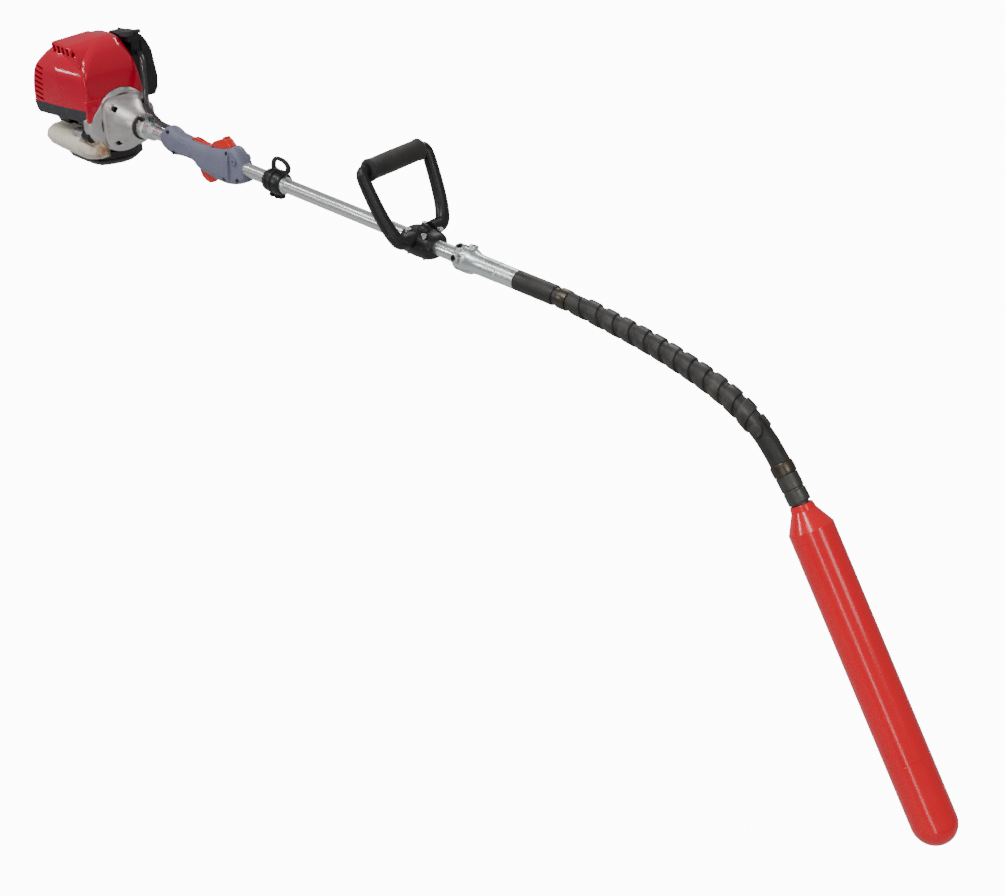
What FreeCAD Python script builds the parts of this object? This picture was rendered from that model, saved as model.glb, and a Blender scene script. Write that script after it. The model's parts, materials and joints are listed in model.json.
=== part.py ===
"""Hand-held concrete vibrator: a small four-stroke engine drives a shaft in a carrying pole, and a
flexible shaft in a hose spins an eccentric rotor inside the poker head.

Every sub-part is drawn in the pole frame: X runs along the pole from the engine to the head, Z is up
and Y = Z = 0 is the pole's axis. Each sub-part is then placed so that the model's origin is the centre
of the harness eye. Lengths are in millimetres."""

import FreeCAD, Part
import Sketcher
import math
import os
import re

from FreeCAD import Placement, Rotation, Vector

PARTS_FOLDER = "parts"
X_AXIS = Vector(1, 0, 0)
Y_AXIS = Vector(0, 1, 0)
Z_AXIS = Vector(0, 0, 1)

# ---------------------------------------------------------------- driving dimensions

SIZES = {
    # harness eye, which carries the model's origin
    "eye_x": 349, "eye_z": 36, "eye_radius": 9, "eye_width": 9,
    # pole and the shaft inside it
    "pole_radius": 12, "pole_wall": 1.5, "pole_start": -68, "pole_end": 795,
    "shaft_radius": 4, "shaft_end": 956.5, "run_gap": 0.05, "part_gap": 0.4,
    # engine body
    "case_radius": 62, "case_wall": 5, "case_front": -109, "case_back": -157,
    "crank_x": -191, "crank_radius": 7.45, "throw": 13, "bore_radius": 17.6,
    "block_half_x": 34, "block_half_y": 36, "block_low": -44, "block_high": 34,
    "bearing_radius": 13, "cylinder_radius": 25, "cylinder_top": 104,
    "fin_half_x": 34, "fin_half_y": 33, "fin_first": 42, "fin_pitch": 8,
    # clutch and its housing
    "drum_radius": 39, "drum_wall": 2.8, "drum_back": -121, "drum_front": -97,
    "flange_radius": 58, "snout_radius": 25, "snout_end": -54, "bolt_half": 31.5,
    # covers
    "cover_wall": 2.6, "cover_low": 20, "skirt_low": 4,
    "tank_wall": 2.5, "tank_low": -87, "tank_top": -30, "guard_low": -93,
    "starter_radius": 54, "grip_reach": 94, "pull_angle": 128,
    # throttle handle
    "handle_half": 18, "cable_radius": 4.2,
    # loop handle
    "loop_x": 690.6, "loop_lean": 29.7, "loop_tube": 8.2, "loop_reach": 131,
    "grip_radius": 15.5, "grip_half": 57,
    # coupling
    "hub_radius": 20.5, "neck_radius": 15.6, "coupling_start": 756, "coupling_end": 850,
    "socket_end": 957,
    # hose and head
    "hose_radius": 13.25, "hose_bore": 8, "core_radius": 6, "guard_radius": 14.5,
    "ferrule_length": 40, "head_radius": 29, "head_wall": 4.5, "head_length": 451.8,
}

ALIASES = re.compile(r"\b(" + "|".join(sorted(SIZES, key=len, reverse=True)) + r")\b")

doc = FreeCAD.newDocument("ConcreteVibrator")
sheet = doc.addObject("Spreadsheet::Sheet", "Sheet")
for row, (alias, number) in enumerate(SIZES.items(), start=1):
    sheet.set(f"A{row}", alias)
    sheet.set(f"B{row}", str(number))
    sheet.setAlias(f"B{row}", alias)
doc.recompute()

sub_parts = []


# ---------------------------------------------------------------- helpers

def formula(text):
    """The text with each sheet name written the way FreeCAD's expressions want it."""
    return ALIASES.sub(r"Sheet.\1", str(text))


def size(text):
    """The number that a formula in the sheet's names gives now."""
    return float(sheet.evalExpression(formula(text)))


def point(x, y, z):
    return Vector(size(x), size(y), size(z))


def keep(item, label, in_pole_frame=True):
    """Name a finished sub-part and move it from the pole frame to the harness eye's frame."""
    item.Label = label
    if in_pole_frame:
        item.setExpression("Placement.Base.x", formula("-eye_x"))
        item.setExpression("Placement.Base.z", formula("-eye_z"))
    sub_parts.append(item)
    return item


def aim(item, base, direction):
    """Place a sub-part drawn along X so that it starts at base and points along direction."""
    turn = Rotation(X_AXIS, direction)
    item.Placement = Placement(base - point("eye_x", 0, "eye_z"), turn)


def new_body(name):
    return doc.addObject("PartDesign::Body", name + "_body")


def origin_plane(body, role):
    return next(f for f in body.Origin.OriginFeatures if f.Role == role)


def sketch(body, role, outlines=(), circles=(), offset=0):
    """A sketch on one of the body's own planes. An outline is a ring of corners and a circle is
    (centre, centre, radius). Each size is a formula in the sheet's names."""
    drawing = body.newObject("Sketcher::SketchObject", body.Name + "_sketch")
    drawing.AttachmentSupport = (origin_plane(body, role), "")
    drawing.MapMode = "FlatFace"
    drawing.setExpression("AttachmentOffset.Base.z", formula(offset))
    for corners in outlines:
        draw_outline(drawing, corners)
    for across, along, radius in circles:
        draw_circle(drawing, across, along, radius)
    return drawing


def pin_point(drawing, curve, end, across, along):
    """Fix one point of a curve at two formulas, measured from the sketch's origin."""
    for kind, text in (("DistanceX", across), ("DistanceY", along)):
        index = drawing.addConstraint(Sketcher.Constraint(kind, -1, 1, curve, end, size(text)))
        drawing.setExpression(f"Constraints[{index}]", formula(text))


def draw_outline(drawing, corners):
    spots = [Vector(size(a), size(b), 0) for a, b in corners]
    first = drawing.GeometryCount
    count = len(spots)
    for i in range(count):
        drawing.addGeometry(Part.LineSegment(spots[i], spots[(i + 1) % count]), False)
    for i in range(count):
        drawing.addConstraint(Sketcher.Constraint("Coincident", first + i, 2, first + (i + 1) % count, 1))
    for i, (across, along) in enumerate(corners):
        pin_point(drawing, first + i, 1, across, along)


def draw_circle(drawing, across, along, radius):
    ring = drawing.addGeometry(
        Part.Circle(Vector(size(across), size(along), 0), Z_AXIS, size(radius)), False)
    pin_point(drawing, ring, 3, across, along)
    index = drawing.addConstraint(Sketcher.Constraint("Radius", ring, size(radius)))
    drawing.setExpression(f"Constraints[{index}]", formula(radius))


def turned(name, profile, finished=True):
    """A body of revolution. The profile's corners are (along the axis, radius)."""
    body = new_body(name)
    drawing = sketch(body, "XY_Plane", [profile])
    spin = body.newObject("PartDesign::Revolution", name + "_turn")
    spin.Profile = drawing
    spin.ReferenceAxis = (drawing, ["H_Axis"])
    spin.Angle = 360
    return keep(body, name) if finished else body


def pad(body, drawing, length, flip=False, both=False):
    step = body.newObject("PartDesign::Pad", body.Name + "_pad")
    step.Profile = drawing
    step.setExpression("Length", formula(length))
    step.Reversed = flip
    step.Midplane = both
    return step


def pocket(body, drawing, length, flip=False, both=False):
    """Cut a sketch into the body, and stop if it cut nothing."""
    doc.recompute()
    before = body.Shape.Volume
    step = body.newObject("PartDesign::Pocket", body.Name + "_pocket")
    step.Profile = drawing
    step.setExpression("Length", formula(length))
    step.Reversed = flip
    step.Midplane = both
    doc.recompute()
    if body.Shape.Volume > before - 1:
        raise SystemExit(f"{step.Name} cut nothing")
    return step


def soften(body, radius, wanted):
    """Round the body's edges whose middle point the test accepts."""
    doc.recompute()
    base = body.Tip
    names = [
        f"Edge{i}" for i, edge in enumerate(base.Shape.Edges, start=1)
        if wanted(edge, edge.valueAt(0.5 * (edge.FirstParameter + edge.LastParameter)))
    ]
    fillet = body.newObject("PartDesign::Fillet", body.Name + "_fillet")
    fillet.Base = (base, names)
    fillet.Radius = radius
    return fillet


def block(x, y, z):
    """A box between pairs of formulas."""
    item = doc.addObject("Part::Box", "Block")
    for side, letter, (low, high) in zip(("Length", "Width", "Height"), "xyz", (x, y, z)):
        item.setExpression(side, formula(f"{high} - ({low})"))
        item.setExpression(f"Placement.Base.{letter}", formula(low))
    return item


def rod(axis, start, end, radius, centre=(0, 0)):
    """A cylinder along one axis. Its centre is given on the other two, in X, Y, Z order."""
    item = doc.addObject("Part::Cylinder", "Rod")
    item.setExpression("Radius", formula(radius))
    item.setExpression("Height", formula(f"{end} - ({start})"))
    turn = {"x": Rotation(Y_AXIS, 90), "y": Rotation(X_AXIS, -90), "z": Rotation()}[axis]
    item.Placement = Placement(Vector(), turn)
    others = [letter for letter in "xyz" if letter != axis]
    item.setExpression(f"Placement.Base.{axis}", formula(start))
    for letter, text in zip(others, centre):
        item.setExpression(f"Placement.Base.{letter}", formula(text))
    return item


def joined(*items):
    result = doc.addObject("Part::MultiFuse", "Joined")
    result.Shapes = list(items)
    return result


def round_x(item, degrees):
    """Swing an item about the pole's axis."""
    swung = group(item)
    swung.Placement = Placement(Vector(), Rotation(X_AXIS, size(degrees)))
    return swung


def less(base, *tools):
    """The base with every tool cut away, stopping if a tool misses it."""
    result = doc.addObject("Part::Cut", "Less")
    result.Base = base
    result.Tool = tools[0] if len(tools) == 1 else joined(*tools)
    doc.recompute()
    if result.Shape.isNull():
        raise SystemExit(f"{result.Name} has no shape")
    if result.Shape.Volume > base.Shape.Volume - 0.5:
        raise SystemExit(f"{result.Name} cut nothing")
    return result


def common(first, second):
    result = doc.addObject("Part::Common", "Shared")
    result.Base = first
    result.Tool = second
    return result


def group(*items):
    """Separate solids kept in one sub-part."""
    result = doc.addObject("Part::Compound", "Group")
    result.Links = list(items)
    return result


def rounded(item, radius, wanted):
    """A Part fillet of the edges whose middle point the test accepts."""
    doc.recompute()
    result = doc.addObject("Part::Fillet", "Rounded")
    result.Base = item
    picks = []
    for i, edge in enumerate(item.Shape.Edges, start=1):
        if wanted(edge, edge.valueAt(0.5 * (edge.FirstParameter + edge.LastParameter))):
            picks.append((i, radius, radius))
    result.Edges = picks
    return result


def runs_along(edge, direction):
    start, end = edge.Vertexes[0].Point, edge.Vertexes[-1].Point
    span = end - start
    return span.Length > 0.5 and abs(span.normalize().dot(direction)) > 0.999


def along_x(edge, middle):
    return runs_along(edge, X_AXIS)


def along_z(edge, middle):
    return runs_along(edge, Z_AXIS)


def lofted(levels, inset=0, drop=0):
    """A solid through four-cornered outlines, lowest first. Corners go front near side, rear near
    side, rear far side, front far side. The inset moves every corner inwards."""
    inward = ((-1, 1), (1, 1), (1, -1), (-1, -1))
    wires = []
    for number, (height, corners) in enumerate(levels):
        z = size(height) - (drop if number == len(levels) - 1 else 0)
        ring = [
            Vector(size(x) + sx * inset, size(y) + sy * inset, z)
            for (x, y), (sx, sy) in zip(corners, inward)
        ]
        wires.append(Part.makePolygon(ring + ring[:1]))
    return Part.makeLoft(wires, True, True)


def feature(shape):
    item = doc.addObject("Part::Feature", "Shape")
    item.Shape = shape
    return item


def path_with_arcs(points):
    """Straight runs joined by tangent arcs, each as large as its two runs allow."""
    start, edges, radii = points[0], [], []
    for before, corner, after in zip(points, points[1:], points[2:]):
        into, away = (before - corner).normalize(), (after - corner).normalize()
        half_turn = 0.5 * (math.pi - into.getAngle(away))
        shorter = min((before - corner).Length, (after - corner).Length)
        setback = 0.45 * shorter
        radius = setback / math.tan(half_turn)
        first, last = corner + into * setback, corner + away * setback
        bisector = (into + away).normalize()
        centre = corner + bisector * (radius / math.cos(half_turn))
        middle = centre - bisector * radius
        edges.append(Part.LineSegment(start, first).toShape())
        edges.append(Part.Arc(first, middle, last).toShape())
        radii.append(radius)
        start = last
    edges.append(Part.LineSegment(start, points[-1]).toShape())
    return Part.Wire(edges), radii


def tube_along(wire, radius, hole=0):
    """A round tube swept along a wire."""
    start = wire.Edges[0]
    spot, heading = start.valueAt(start.FirstParameter), start.tangentAt(start.FirstParameter)

    def sweep(r):
        ring = Part.Wire(Part.makeCircle(r, spot, heading))
        return wire.makePipeShell([ring], True, False)

    solid = sweep(radius)
    return solid.cut(sweep(hole)) if hole else solid


# ---------------------------------------------------------------- engine core

def engine_core():
    front, back = "crank_x + block_half_x", "crank_x - block_half_x"
    body = block((back, front), ("-block_half_y", "block_half_y"), ("block_low", "block_high"))
    body = rounded(body, 8, along_x)
    chamber = rod("x", "crank_x - 22", "crank_x + 22", 29)
    bearing_bore = rod("x", f"{back} - 1", f"{front} + 1", "bearing_radius")
    mouth = rod("z", 0, "block_high + 1", "bore_radius", ("crank_x", 0))
    filler = joined(rod("y", -79, "-block_half_y + 1", 7, (-167, -20)), rod("x", -168, -140, 7, (-72, -20)))
    keep(joined(less(body, chamber, bearing_bore, mouth), filler), "crankcase")

    # the fan housing stops at the crankcase's front face
    turned("fan_housing", [
        ("case_back", 14), ("case_back", "case_radius - 4"), ("case_back + 4", "case_radius"),
        ("case_front", "case_radius"), ("case_front", 41.5), ("case_front - 6", 41.5),
        ("case_front - 6", "case_radius - case_wall"), ("case_back + 4", "case_radius - case_wall"),
        ("case_back + 4", 14),
    ])

    cylinder_block()
    piston = less(
        rod("z", 46, 73, "bore_radius - 0.1", ("crank_x", 0)),
        rod("z", 45, 69, "bore_radius - 3", ("crank_x", 0)))
    wrist_pin = rod("x", "crank_x - 14.4", "crank_x + 14.4", 4, (0, 61))
    keep(joined(piston, wrist_pin), "piston")

    rod_sides = ("crank_x - 3.5", "crank_x + 3.5")
    rod_body = joined(
        rod("x", *rod_sides, 9, (0, "throw")),
        rod("x", *rod_sides, 7, (0, 61)),
        block(rod_sides, (-4, 4), ("throw + 5", 58)))
    keep(less(
        rod_body,
        rod("x", "crank_x - 5", "crank_x + 5", "5 + run_gap", (0, "throw")),
        rod("x", "crank_x - 5", "crank_x + 5", "4 + run_gap", (0, 61))), "connecting_rod")

    webs = [rod("x", f"crank_x + {low}", f"crank_x + {low} + 7", 24) for low in (-14, 7)]
    keep(joined(*webs, rod("x", "crank_x - 14", "crank_x + 14", 5, (0, "throw"))), "crank_throw")

    stub = turned("drive_end", [
        ("crank_x + 14 + part_gap", 0), ("crank_x + 14 + part_gap", "crank_radius"), (-157, "crank_radius"),
        (-157, 6), (-112, 6), (-112, 0)], finished=False)
    tail = turned("starter_end", [
        (-245, 0), (-245, 6), ("crank_x - 34", 6), ("crank_x - 34", "crank_radius"),
        ("crank_x - 14 - part_gap", "crank_radius"), ("crank_x - 14 - part_gap", 0)], finished=False)
    keep(group(stub, tail), "crankshaft_ends")

    flywheel()
    clutch_shoes()


def bearing(start, width, outer, inner):
    return less(rod("x", start, f"{start} + {width}", outer),
                rod("x", f"{start} - 1", f"{start} + {width} + 1", inner))


def cylinder_block():
    """Cylinder with a pattern of square cooling fins, drawn round its own axis."""
    body = new_body("cylinder_block")
    pad(body, sketch(body, "XY_Plane", circles=[(0, 0, "cylinder_radius")], offset="block_high"),
        "cylinder_top - block_high")
    corners = [("-fin_half_x", "-fin_half_y"), ("fin_half_x", "-fin_half_y"),
               ("fin_half_x", "fin_half_y"), ("-fin_half_x", "fin_half_y")]
    fin = pad(body, sketch(body, "XY_Plane", [corners], offset="fin_first"), 2)
    doc.recompute()
    rows = body.newObject("PartDesign::LinearPattern", "fin_rows")
    rows.Originals = [fin]
    rows.Direction = (next(f for f in body.Origin.OriginFeatures if f.Role == "Z_Axis"), [""])
    rows.setExpression("Length", formula("fin_pitch * 7"))
    rows.Occurrences = 8
    body.Tip = rows
    pocket(body, sketch(body, "XY_Plane", circles=[(0, 0, "bore_radius")], offset="block_high"), 44, flip=True)
    pocket(body, sketch(body, "XY_Plane", circles=[(0, 0, 6)], offset="cylinder_top"), 28)
    keep(body, "cylinder_block")
    body.setExpression("Placement.Base.x", formula("crank_x - eye_x"))


def flywheel():
    """Disc with a hub at the clutch side and a ring of fan blades."""
    disc = turned("disc", [
        (-147, 6), (-147, 50), (-133, 50), (-133, 22), (-118, 22), (-118, 6)], finished=False)
    blades = [round_x(block((-133.5, -121.5), (33, 49), (-1, 1)), 30 * number) for number in range(12)]
    keep(joined(disc, *blades), "flywheel")


def clutch_shoes():
    """Two half-ring shoes joined by tension springs across the slots between them."""
    ring = less(rod("x", -118, -105, 35), rod("x", -119, -104, 21))
    shoes = less(ring, block((-119, -104), (-7, 7), (-40, 40)))
    keep(shoes, "clutch_shoes")
    springs = [rod("y", -7, 7, 2.5, (-111.5, z)) for z in (-28, 28)]
    keep(group(*springs), "clutch_springs")


# ---------------------------------------------------------------- clutch housing and drive line

def clutch():
    keep(less(turned("drum_turn", [
        ("drum_back", "drum_radius - drum_wall"), ("drum_back", "drum_radius"),
        ("drum_front", "drum_radius"), ("drum_front", 7), (-73, 7), (-73, 0), (-100, 0),
        (-100, "drum_radius - drum_wall")], finished=False),
        rod("x", -89, -72, "shaft_radius")), "clutch_drum")

    shell = turned("housing_turn", [
        ("case_front", 42), ("case_front", "flange_radius"), (-101, "flange_radius"), (-101, 50),
        (-70, "snout_radius"), ("snout_end", "snout_radius"), ("snout_end", "pole_radius"),
        ("pole_start", "pole_radius"), ("pole_start", 10), (-76, 10), (-76, "bearing_radius"),
        (-89, "bearing_radius"), (-89, 24), (-95.5, 42)], finished=False)
    spots = [(y, z) for y in ("-bolt_half", "bolt_half") for z in ("-bolt_half", "bolt_half")]
    bosses = [rod("x", "case_front", -93, 8.5, spot) for spot in spots]
    inside = rod("x", "case_front - 1", -95.6, 41.9)
    holes = [rod("x", "case_front - 1", -90, 3, spot) for spot in spots]
    sinks = [rod("x", -93, -84, 5.6, spot) for spot in spots]
    keep(less(joined(shell, *bosses), inside, *holes, *sinks), "clutch_housing")

    turned("collar_ring", [
        ("snout_end", "pole_radius"), ("snout_end", 23), (-50, 23), (-50, "pole_radius")])
    sleeve = turned("collar_turn", [
        (-50, "pole_radius"), (-50, 19.5), (-36, 19.5), (-34, 17), (-16, 17), (-16, "pole_radius")], finished=False)
    ear = block((-47, -29), (-9, 9), (14, 27))
    slit = block((-51, -15), (-1, 1), (10, 28))
    screw_hole = rod("y", -10, 10, 2.5, (-38, 21.5))
    keep(less(joined(sleeve, ear), rod("x", -52, -14, "pole_radius"), slit, screw_hole), "tube_collar")


def pole():
    keep(less(rod("x", "pole_start", "pole_end", "pole_radius"),
              rod("x", "pole_start - 1", "pole_end + 1", "pole_radius - pole_wall")), "pole_tube")
    keep(group(rod("x", -89, "shaft_end", "shaft_radius")), "drive_shaft")
    bushes = [
        less(rod("x", start, start + 20, "pole_radius - pole_wall"),
             rod("x", start - 1, start + 21, "shaft_radius + run_gap"))
        for start in (60, 240, 420, 600, 765)
    ]
    keep(group(*bushes), "shaft_bushes")


# ---------------------------------------------------------------- engine covers and services

LID_HINGE = (78, 19)

COVER_LEVELS = [
    ("cover_low", [(-113, -76), (-250, -104), (-250, 44), (-119, 56)]),
    (100, [(-114, -73), (-246, -101), (-246, 44), (-121, 56)]),
    (124, [(-122, -60), (-236, -84), (-236, 42), (-127, 46)]),
    (143, [(-138, -34), (-222, -56), (-222, 36), (-143, 36)]),
    (152, [(-152, -12), (-208, -30), (-208, 28), (-156, 28)]),
]
TANK_LEVELS = [
    ("tank_low", [(-152, -44), (-240, -44), (-240, 60), (-152, 60)]),
    ("tank_low + 11", [(-130, -64), (-256, -66), (-256, 78), (-130, 78)]),
    (-60, [(-114, -76), (-264, -80), (-264, 88), (-114, 86)]),
    (-44, [(-110, -78), (-266, -80), (-266, 88), (-110, 86)]),
    ("tank_top", [(-120, -68), (-254, -72), (-254, 78), (-120, 76)]),
]


def top_cover():
    """Red shell with a raised vent box, slots, an arch over the fan housing and a hole for the starter."""
    outer = feature(lofted(COVER_LEVELS))
    inner_levels = [("cover_low - 1", COVER_LEVELS[0][1])] + COVER_LEVELS[1:]
    inner = feature(lofted(inner_levels, size("cover_wall"), size("cover_wall")))
    vent_box = rounded(block((-214, -134), (-72, 14), (110, 149)), 6, along_z)
    vent_room = block((-211, -137), (-69, 11), (109, 146))
    lip = block((-119, -113), (-78, -46), (8, 40))
    arch = rod("x", -160, -100, "case_radius + 0.4")
    starter_hole = rod("x", -275, -222, "starter_radius + 0.4")
    cleaner_window = block((-232, -140), (30, 70), (19, 104))
    slots = [block((-232, -196), (-110, -70), (30 + 10 * row, 34.5 + 10 * row)) for row in range(7)]
    box_slots = [block((-206 + 13 * n, -199 + 13 * n), (-75, -66), (126, 142)) for n in range(5)]
    keep(less(joined(outer, vent_box, lip), inner, vent_room, arch, starter_hole, cleaner_window,
              *slots, *box_slots), "top_cover")

    skirt_outer = [("skirt_low", [(-114, -72), (-246, -96), (-246, 40), (-124, 40)]),
                   ("cover_low", COVER_LEVELS[0][1])]
    skirt_inner = [("skirt_low - 1", skirt_outer[0][1]), ("cover_low + 1", skirt_outer[1][1])]
    skirt = less(
        feature(lofted(skirt_outer)), feature(lofted(skirt_inner, 3)),
        rod("x", -160, -100, "case_radius + 0.4"), rod("x", -275, -222, "starter_radius + 0.4"),
        block((-125, -100), (-80, -40), (0, 22)), block((-260, -100), (0, 60), (0, 22)))
    keep(skirt, "cover_skirt")


def muffler():
    can = rounded(block((-232, -160), (-78, -44), (30, 96)), 8, along_x)
    flange = block((-214, -168), (-45, "-fin_half_y"), (74, 80))
    keep(joined(can, flange), "muffler")


LID_LEVELS = [(22, 95), (34, 103), (56, 105.5), (108, 98), (128, 88), (138, 80)]


def lid_solid(levels, near, left, right):
    """A solid between two ends along the pole. Each level is (height, far side)."""
    return feature(lofted([(z, [(right, near), (left, near), (left, far), (right, far)]) for z, far in levels]))


def air_cleaner():
    """Case, lid hinged along its lower edge, element between them and the latch knob on top."""
    case = rounded(block((-216, -146), (56, 76), (26, 132)), 6, along_x)
    shelf = block((-200, -138), (46, 76), (131, 141))
    room = block((-213, -149), (62, 77), (30, 128))
    port = rod("y", 55, 63, 9, (-181, 66))
    lugs = [joined(block((x, x + 6), (66, 76), (16, 27)), block((x, x + 6), (66, 80), (16, 21)))
            for x in (-212, -156)]
    hinge_pin = rod("x", -210, -152, 1.5, LID_HINGE)
    keep(joined(less(joined(case, shelf), room, port), *lugs, hinge_pin), "air_cleaner_case")

    hollow = [(max(z, 26), far - 4) for z, far in LID_LEVELS[:-1]]
    cover = less(lid_solid(LID_LEVELS, 76.4, -218, -144), lid_solid(hollow, 70, -214, -148))
    knuckle = joined(rod("x", -205, -157, 2.6, LID_HINGE), block((-205, -157), (76.4, 80.6), (19, 23)))
    keep(less(joined(cover, knuckle), rod("x", -206, -156, "1.5 + run_gap", LID_HINGE)), "air_cleaner_cover")
    keep(group(block((-211, -151), (66, 88), (34, 110))), "filter_element")
    keep(joined(rod("z", 141.3, 150, 13, (-152, 52.5)),
                block((-156, -148), (52, 82), (141.3, 147))), "cleaner_latch")

    throat = rod("y", 33, 55.9, 12, (-181, 66))
    bowl = rod("z", 40, 57.5, 9.5, (-181, 46))
    flange = block((-201, -161), ("fin_half_y + 0.1", 38), (56, 76))
    bulb_room = rod("z", 39, 46, 7.4, (-181, 46))
    keep(less(joined(throat, bowl, flange), rod("y", 32, 57, 7, (-181, 66)), bulb_room), "carburettor")
    keep(joined(rod("z", 30, 34, 8.5, (-181, 46)), rod("z", 33, 42, 7, (-181, 46))), "primer_bulb")
    keep(joined(rod("z", 96.2, 112, 5.9, ("crank_x", 0)), rod("z", 104.1, 110, 9, ("crank_x", 0))), "spark_plug")


def engine_room(clearance):
    """The space under the engine that the tank wraps round, grown by a clearance."""
    return [
        rod("x", f"-160 - {clearance}", -100, f"case_radius + 1 + {clearance}"),
        rod("x", -280, f"-222 + {clearance}", f"starter_radius + 1 + {clearance}"),
        block((f"-228 - {clearance}", f"-150 + {clearance}"), (f"-41 - {clearance}", f"41 + {clearance}"),
              (f"-46 - {clearance}", 0)),
    ]


def tank():
    outer = feature(lofted(TANK_LEVELS))
    cavity = feature(lofted(
        [("tank_low + tank_wall", TANK_LEVELS[0][1])] + TANK_LEVELS[1:], size("tank_wall"), size("tank_wall")))
    fuel = less(cavity, *engine_room("tank_wall"))
    neck = rod("y", 80, 98, 15, (-200, -60))
    mouth = rod("y", 78, 99, 12, (-200, -60))
    keep(less(joined(outer, neck), *engine_room("0"), fuel, mouth), "fuel_tank")
    cap = less(rod("y", 90.4, 107, 19, (-200, -60)), rod("y", 90, 98.4, 15.3, (-200, -60)))
    keep(cap, "fuel_cap")
    keep(joined(rod("x", -139.6, -130, 8, (-72, -20)), rod("x", -130, -116, 9.5, (-72, -20))), "oil_cap")


def base_guard():
    """A shallow black tray with a bowed front edge, which the engine stands on."""
    foot = [(-246, -45), (-166, -36), (-158, 4), (-170, 40), (-198, 68), (-246, 68)]
    rim = [(-254, -54), (-154, -46), (-144, 2), (-158, 46), (-190, 78), (-254, 78)]
    wires = []
    for height, corners in (("guard_low", foot), ("guard_low + 12", rim)):
        ring = [point(x, y, height) for x, y in corners]
        wires.append(Part.makePolygon(ring + ring[:1]))
    tray = feature(Part.makeLoft(wires, True, True))
    bed_low = ("tank_low - 0.2", TANK_LEVELS[0][1])
    bed_high = ("tank_low + 11", TANK_LEVELS[1][1])
    keep(less(tray, feature(lofted([bed_low, bed_high], -0.3))), "base_guard")


def recoil_starter():
    shell = turned("recoil_turn", [
        (-270, 0), (-270, "starter_radius - 8"), (-264, "starter_radius"), (-226, "starter_radius"),
        (-226, "starter_radius - 4"), (-262, "starter_radius - 4"), (-266, "starter_radius - 10"),
        (-266, 0)], finished=False)
    vents = [round_x(rod("x", -271, -262, 5, (32, 0)), angle) for angle in range(0, 360, 45)]
    guide = round_x(rod("y", "starter_radius - 12", "grip_reach - 8", 6, (-260, 0)), "pull_angle")
    rope_hole = round_x(rod("y", "starter_radius - 20", "grip_reach", 2.5, (-260, 0)), "pull_angle")
    keep(less(joined(shell, guide), *vents, rope_hole), "recoil_housing")
    drum = less(rod("x", -265, -246, 30), rod("x", -246.5, -245.4, 40), rod("x", -254, -240, 12))
    groove = less(rod("x", -262, -256, 31), rod("x", -263, -255, 26))
    keep(less(drum, groove), "starter_reel")
    stem = round_x(rod("y", "grip_reach - 7.6", "grip_reach", 4, (-260, 0)), "pull_angle")
    bar = round_x(rod("z", -22, 22, 7, (-260, "grip_reach + 4")), "pull_angle")
    keep(joined(stem, rounded(bar, 3, lambda edge, middle: edge.Closed)), "starter_grip")


def engine_services():
    top_cover()
    muffler()
    air_cleaner()
    tank()
    base_guard()
    recoil_starter()


# ---------------------------------------------------------------- throttle handle

HANDLE_OUTLINE = [
    (14, -12), (14, 14), (26, 20), (42, 26), (54, 25), (66, 18.5), (108, 17.5), (158, 17), (168, 22),
    (224, 33), (240, 27), (252, 10), (257, -16), (250, -27), (226, -33), (196, -37), (174, -36),
    (122, -30), (115, -21), (88, -20), (50, -25), (26, -21),
]
SCREW_SPOTS = [(46, 19), (58, -17.5), (218, 23), (206, -27), (242, -20)]


def prism(name, corners, depth):
    """A plate drawn in the X-Z plane, centred on the parting plane."""
    body = new_body(name)
    pad(body, sketch(body, "XZ_Plane", [corners]), depth, both=True)
    return body


def handle_cuts():
    """Everything that is cut out of both handle halves."""
    return [
        rod("x", 10, 260, "pole_radius"),
        rod("x", 8, 34, "cable_radius + 0.2", (2, 19)),
        block((116, 178), (-5.6, 5.6), (-60, -11)),
        block((104.5, 158), (-4.4, 4.4), (13.2, 30)),
        block((166, 224.5), (-8.5, 8.5), (14.5, 50)),
        block((126, 240), ("-handle_half + 4", "handle_half - 4"), (-26, 11)),
    ]


def handle_half(name, near_side):
    body = new_body(name)
    pad(body, sketch(body, "XZ_Plane", [HANDLE_OUTLINE]), "handle_half", flip=not near_side)
    soften(body, 5, lambda edge, middle: abs(middle.y) > size("handle_half") - 0.1)
    tools = handle_cuts()
    tools += [rod("y", -15, 12, 1.6, spot) for spot in SCREW_SPOTS]
    if near_side:
        tools += [rod("y", "-handle_half - 1", "-handle_half + 4.5", 3.1, spot) for spot in SCREW_SPOTS]
        keep(joined(less(body, *tools), *pivot_pins()), name)
    else:
        keep(less(body, *tools), name)


def pivot_pins():
    """Pins moulded into the near half, which the trigger, lever and switch turn on."""
    return [
        rod("y", "-handle_half + 3", 5.5, 2, (170, -28)),
        rod("y", -7, 4.3, 1.5, (152, 16.2)),
        rod("y", -11, 8.4, 2, (196, 23)),
    ]


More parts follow.
